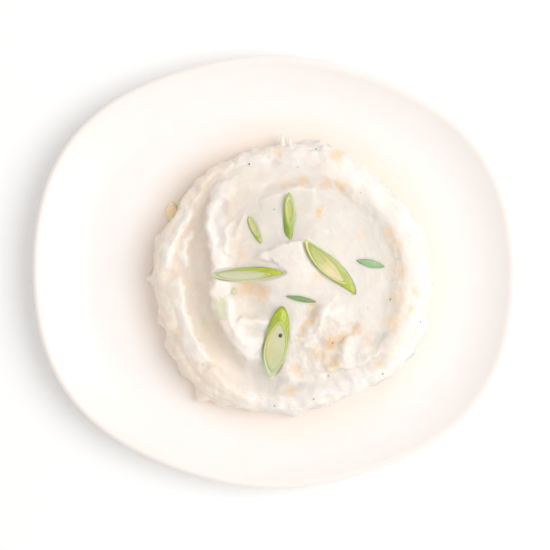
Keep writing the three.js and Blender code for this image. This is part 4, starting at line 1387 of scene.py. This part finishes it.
def leaf():
    """The waxy upper leaf of a spring onion."""
    material, tree, shader = new_material("waxy onion leaf")
    fibre_place = add(tree, "ShaderNodeAttribute", attribute_name="fibre").outputs["Vector"]
    streaks = add(tree, "ShaderNodeTexNoise", {"Vector": fibre_place, "Scale": 1.0, "Detail": 2.0})
    blue = add(tree, "ShaderNodeAttribute", attribute_name="blue").outputs["Fac"]
    base = add(tree, "ShaderNodeMix", {0: blue, 6: linear(LEAF_DARK), 7: linear(LEAF_BLUE)}, data_type="RGBA")
    streak_range = {"Value": streaks, "From Min": 0.4, "From Max": 0.7, "To Max": 0.5}
    streaky = add(tree, "ShaderNodeMapRange", streak_range)
    colours = {0: streaky, 6: base.outputs[2], 7: linear(EDGE_DARK)}
    colour = add(tree, "ShaderNodeMix", colours, data_type="RGBA")
    tree.links.new(colour.outputs[2], shader.inputs["Base Color"])
    bump = add(tree, "ShaderNodeBump", {"Height": streaks, "Strength": 0.3, "Distance": FIBRE_DEPTH})
    tree.links.new(bump.outputs[0], shader.inputs["Normal"])
    shader.inputs["Roughness"].default_value = 0.38
    shader.inputs["Subsurface Weight"].default_value = 0.2
    shader.inputs["Subsurface Radius"].default_value = (0.5, 1.0, 0.3)
    shader.inputs["Subsurface Scale"].default_value = 0.6 * MM
    return material


leaf_material = leaf()

# %% Sliver pieces
SLIVERS = {"spring_onion_5": 1.0, "spring_onion_6": 0.0}  # how blue the green is
SLIVER_RINGS = 8
SLIVER_POINTED = 0.85
SLIVER_TIP = 0.02  # the size of its first ring, as a share of the last
SLIVER_UNDER = 0.05 * MM
RIB = 0.2  # as a share of the sliver's height
RIB_WIDTH = 0.3  # as a share of its width


def sliver_rings(lie):
    """A dome on a pointed oval, ribbed down the middle, with a flat underside."""
    angle = np.linspace(0, 2 * math.pi, LOFT_STEPS, endpoint=False)
    rings = []
    for share in np.linspace(SLIVER_TIP, 1, SLIVER_RINGS):
        x, y = lens(angle, lie.half[0] * share, lie.half[1] * share, SLIVER_POINTED)
        rib = RIB * np.exp(-((y / (RIB_WIDTH * lie.half[1])) ** 2))
        height = 2 * lie.half[2] * ((1 - share**2) ** 0.5 * (1 - RIB) + rib * (1 - share))
        rings.append(np.stack([x, y, height], -1))
    for share in (0.9, SLIVER_TIP):
        x, y = lens(angle, lie.half[0] * share, lie.half[1] * share, SLIVER_POINTED)
        rings.append(np.stack([x, y, np.full_like(x, -SLIVER_UNDER)], -1))
    return rings[::-1]


for node, blue in SLIVERS.items():
    lie = lies[node]
    points, quads = band(lie, sliver_rings(lie), closed=False)
    piece = onion_piece(node, points, quads, {"blue": blue}, lie, leaf_material)
    print(piece.name, len(quads), "faces")

# %% [markdown]
# ## Pepper and bits
#
# Coarse black pepper was stirred in, so flakes show here and there on the surface. There are also crumbs of
# orange sweet pepper and pale green onion under a film of mash. Both are small things set on a surface,
# which is work for Geometry Nodes: points on the mound, and one rough flake on each, as large as the point
# says and turned by a seed.

# %% Geometry Nodes tree for crumbs
CRUMB_WIDTH = 0.8  # as a share of its length
CRUMB_TILT = 0.5  # in radians, either way
CRUMB_ROUGHNESS = 700.0  # how many bumps there are in a metre


def crumb_tree():
    """The tree that sets a rough crumb on each point, with the point's own size."""
    sockets = {"Flatness": "Float", "Jaggedness": "Float", "Fineness": "Int", "Seed": "Int"}
    tree, given = new_tree("crumb on each point", {**sockets, "Material": "Material"})
    ball = add(tree, "GeometryNodeMeshIcoSphere", {"Radius": 0.5, "Subdivisions": given["Fineness"]})
    flat = add(tree, "ShaderNodeCombineXYZ", {"X": 1.0, "Y": CRUMB_WIDTH, "Z": given["Flatness"]})
    flattened = add(tree, "GeometryNodeTransform", {"Geometry": ball, "Scale": flat})
    size = add(tree, "GeometryNodeInputNamedAttribute", {"Name": "size"}, data_type="FLOAT")
    turn_range = {"Min": (-CRUMB_TILT, -CRUMB_TILT, 0.0), "Max": (CRUMB_TILT, CRUMB_TILT, 2 * math.pi)}
    turn_range["Seed"] = given["Seed"]
    turn = add(tree, "FunctionNodeRandomValue", turn_range, data_type="FLOAT_VECTOR")
    settings = {"Points": given["Geometry"], "Instance": flattened, "Rotation": turn, "Scale": size}
    placed = add(tree, "GeometryNodeInstanceOnPoints", settings)
    real = add(tree, "GeometryNodeRealizeInstances", {"Geometry": placed})
    place = add(tree, "GeometryNodeInputPosition")
    rough = add(tree, "ShaderNodeTexNoise", {"Vector": place, "Scale": CRUMB_ROUGHNESS, "Detail": 1.0})
    noise_and_half = {0: rough.outputs["Color"], 1: (0.5, 0.5, 0.5)}
    centred = add(tree, "ShaderNodeVectorMath", noise_and_half, operation="SUBTRACT")
    offset = add(tree, "ShaderNodeVectorMath", {0: centred, "Scale": given["Jaggedness"]}, operation="SCALE")
    torn = add(tree, "GeometryNodeSetPosition", {"Geometry": real, "Offset": offset})
    dressed = add(tree, "GeometryNodeSetMaterial", {"Geometry": torn, "Material": given["Material"]})
    add(tree, "NodeGroupOutput", {"Geometry": dressed})
    return tree


crumbs_tree = crumb_tree()
print(crumbs_tree.name, len(crumbs_tree.nodes), "nodes")

# %% Points on the mound
flat_surface = mash_points.reshape(-1, 3)[:, :2]


def on_mound(x, y):
    """The point of the mound's skin at a place in shares of its radius, or of the film where a slice lies."""
    wanted = np.array([mash_middle.x + x * MASH_RADIUS, mash_middle.y + y * MASH_RADIUS])
    spot = mash_points.reshape(-1, 3)[np.argmin(((flat_surface - wanted) ** 2).sum(1))].copy()
    for node, cut in CUTS.items():
        if lies[node].beyond(*spot[:2]) == 0:
            spot[2] = lies[node].under(*spot[:2]) + cut["fill"] * cut["thick"] * MM
    return spot


def crumbs(name, places, values):
    """A piece of crumbs: places are x and y in shares of the mound's radius, and size in millimetres."""
    mesh = bpy.data.meshes.new(name)
    mesh.from_pydata([on_mound(x, y).tolist() for x, y, _ in places], [], [])
    mark(mesh, "size", [size * MM for _, _, size in places])
    piece = grow(name, mesh, crumbs_tree, values)
    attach(piece, "root")
    print(name, len(places), "crumbs,", len(piece.data.polygons), "faces")


# %% [markdown]
# ### Pepper
#
# Cracked black peppercorns are thin angular chips, charcoal outside and greyish where they broke, and dull.

# %% Pepper material and piece
PEPPER_OUTSIDE = "#2B2622"
PEPPER_BROKEN = "#6B6258"
PEPPER_MOTTLE = 0.4 * MM
# Each: x and y in shares of the mound's radius, and size in millimetres.
PEPPER = (
    (-0.29, 0.83, 0.75), (-0.02, 0.95, 0.7), (0.19, 0.94, 0.8), (0.66, -0.67, 0.8), (0.27, -0.68, 0.6),
    (-0.11, -0.9, 0.7), (0.17, -0.85, 0.6), (0.93, -0.3, 0.6), (-0.115, 0.5, 0.5), (-0.065, -0.385, 2.1),
    (0.3, -0.44, 0.7), (-0.41, 0.86, 0.5), (0.71, -0.13, 0.6), (0.5, 0.62, 0.4), (-0.62, -0.6, 0.4),
    (0.55, -0.2, 0.35), (-0.75, 0.3, 0.35), (0.05, 0.8, 0.4),
)


def cracked_pepper():
    """Cracked black pepper."""
    material, tree, shader = new_material("cracked black pepper")
    place = add(tree, "ShaderNodeTexCoord").outputs["Object"]
    mottle = add(tree, "ShaderNodeTexNoise", {"Vector": place, "Scale": 1 / PEPPER_MOTTLE, "Detail": 1.0})
    colours = {0: mottle, 6: linear(PEPPER_OUTSIDE), 7: linear(PEPPER_BROKEN)}
    colour = add(tree, "ShaderNodeMix", colours, data_type="RGBA")
    tree.links.new(colour.outputs[2], shader.inputs["Base Color"])
    shader.inputs["Roughness"].default_value = 0.6
    return material


pepper_values = {"Flatness": 0.5, "Jaggedness": 0.35 * MM, "Fineness": 2, "Seed": 5}
pepper_values["Material"] = cracked_pepper()
crumbs("pepper_flakes", PEPPER, pepper_values)

# %% [markdown]
# ### Crumbs of sweet pepper and onion
#
# They were stirred in before the mash was heaped, so they are soft, wet and mostly sunk. Their colour comes
# through a thin skin of mash, so it is pale. They are cooked through, so light goes deep into them.

# %% Crumbs of vegetable
ORANGE_CRUMBS = ((-0.895, 0.525, 8.5), (-0.85, 0.57, 5.0))
GREEN_CRUMBS = ((-0.40, -0.075, 3.2), (0.71, -0.145, 1.4))
CRUMB_MOTTLE = 1.5 * MM


def stewed(name, pale, deep):
    """A soft cooked crumb of vegetable, wet and translucent."""
    material, tree, shader = new_material(name)
    place = add(tree, "ShaderNodeTexCoord").outputs["Object"]
    mottle = add(tree, "ShaderNodeTexNoise", {"Vector": place, "Scale": 1 / CRUMB_MOTTLE, "Detail": 2.0})
    colour = add(tree, "ShaderNodeMix", {0: mottle, 6: linear(pale), 7: linear(deep)}, data_type="RGBA")
    tree.links.new(colour.outputs[2], shader.inputs["Base Color"])
    shader.inputs["Roughness"].default_value = 0.4
    shader.inputs["Subsurface Weight"].default_value = 0.8
    shader.inputs["Subsurface Radius"].default_value = (1.0, 0.6, 0.3)
    shader.inputs["Subsurface Scale"].default_value = 1.5 * MM
    return material


orange_values = {"Flatness": 0.45, "Jaggedness": 1.2 * MM, "Fineness": 3, "Seed": 9}
orange_values["Material"] = stewed("stewed sweet pepper", "#FFEBCF", "#FFDDB3")
crumbs("sweet_pepper_bits", ORANGE_CRUMBS, orange_values)
green_values = {"Flatness": 0.22, "Jaggedness": 1.2 * MM, "Fineness": 3, "Seed": 4}
green_values["Material"] = stewed("stewed green onion", "#E9E2B8", "#D8CE92")
crumbs("green_onion_bits", GREEN_CRUMBS, green_values)
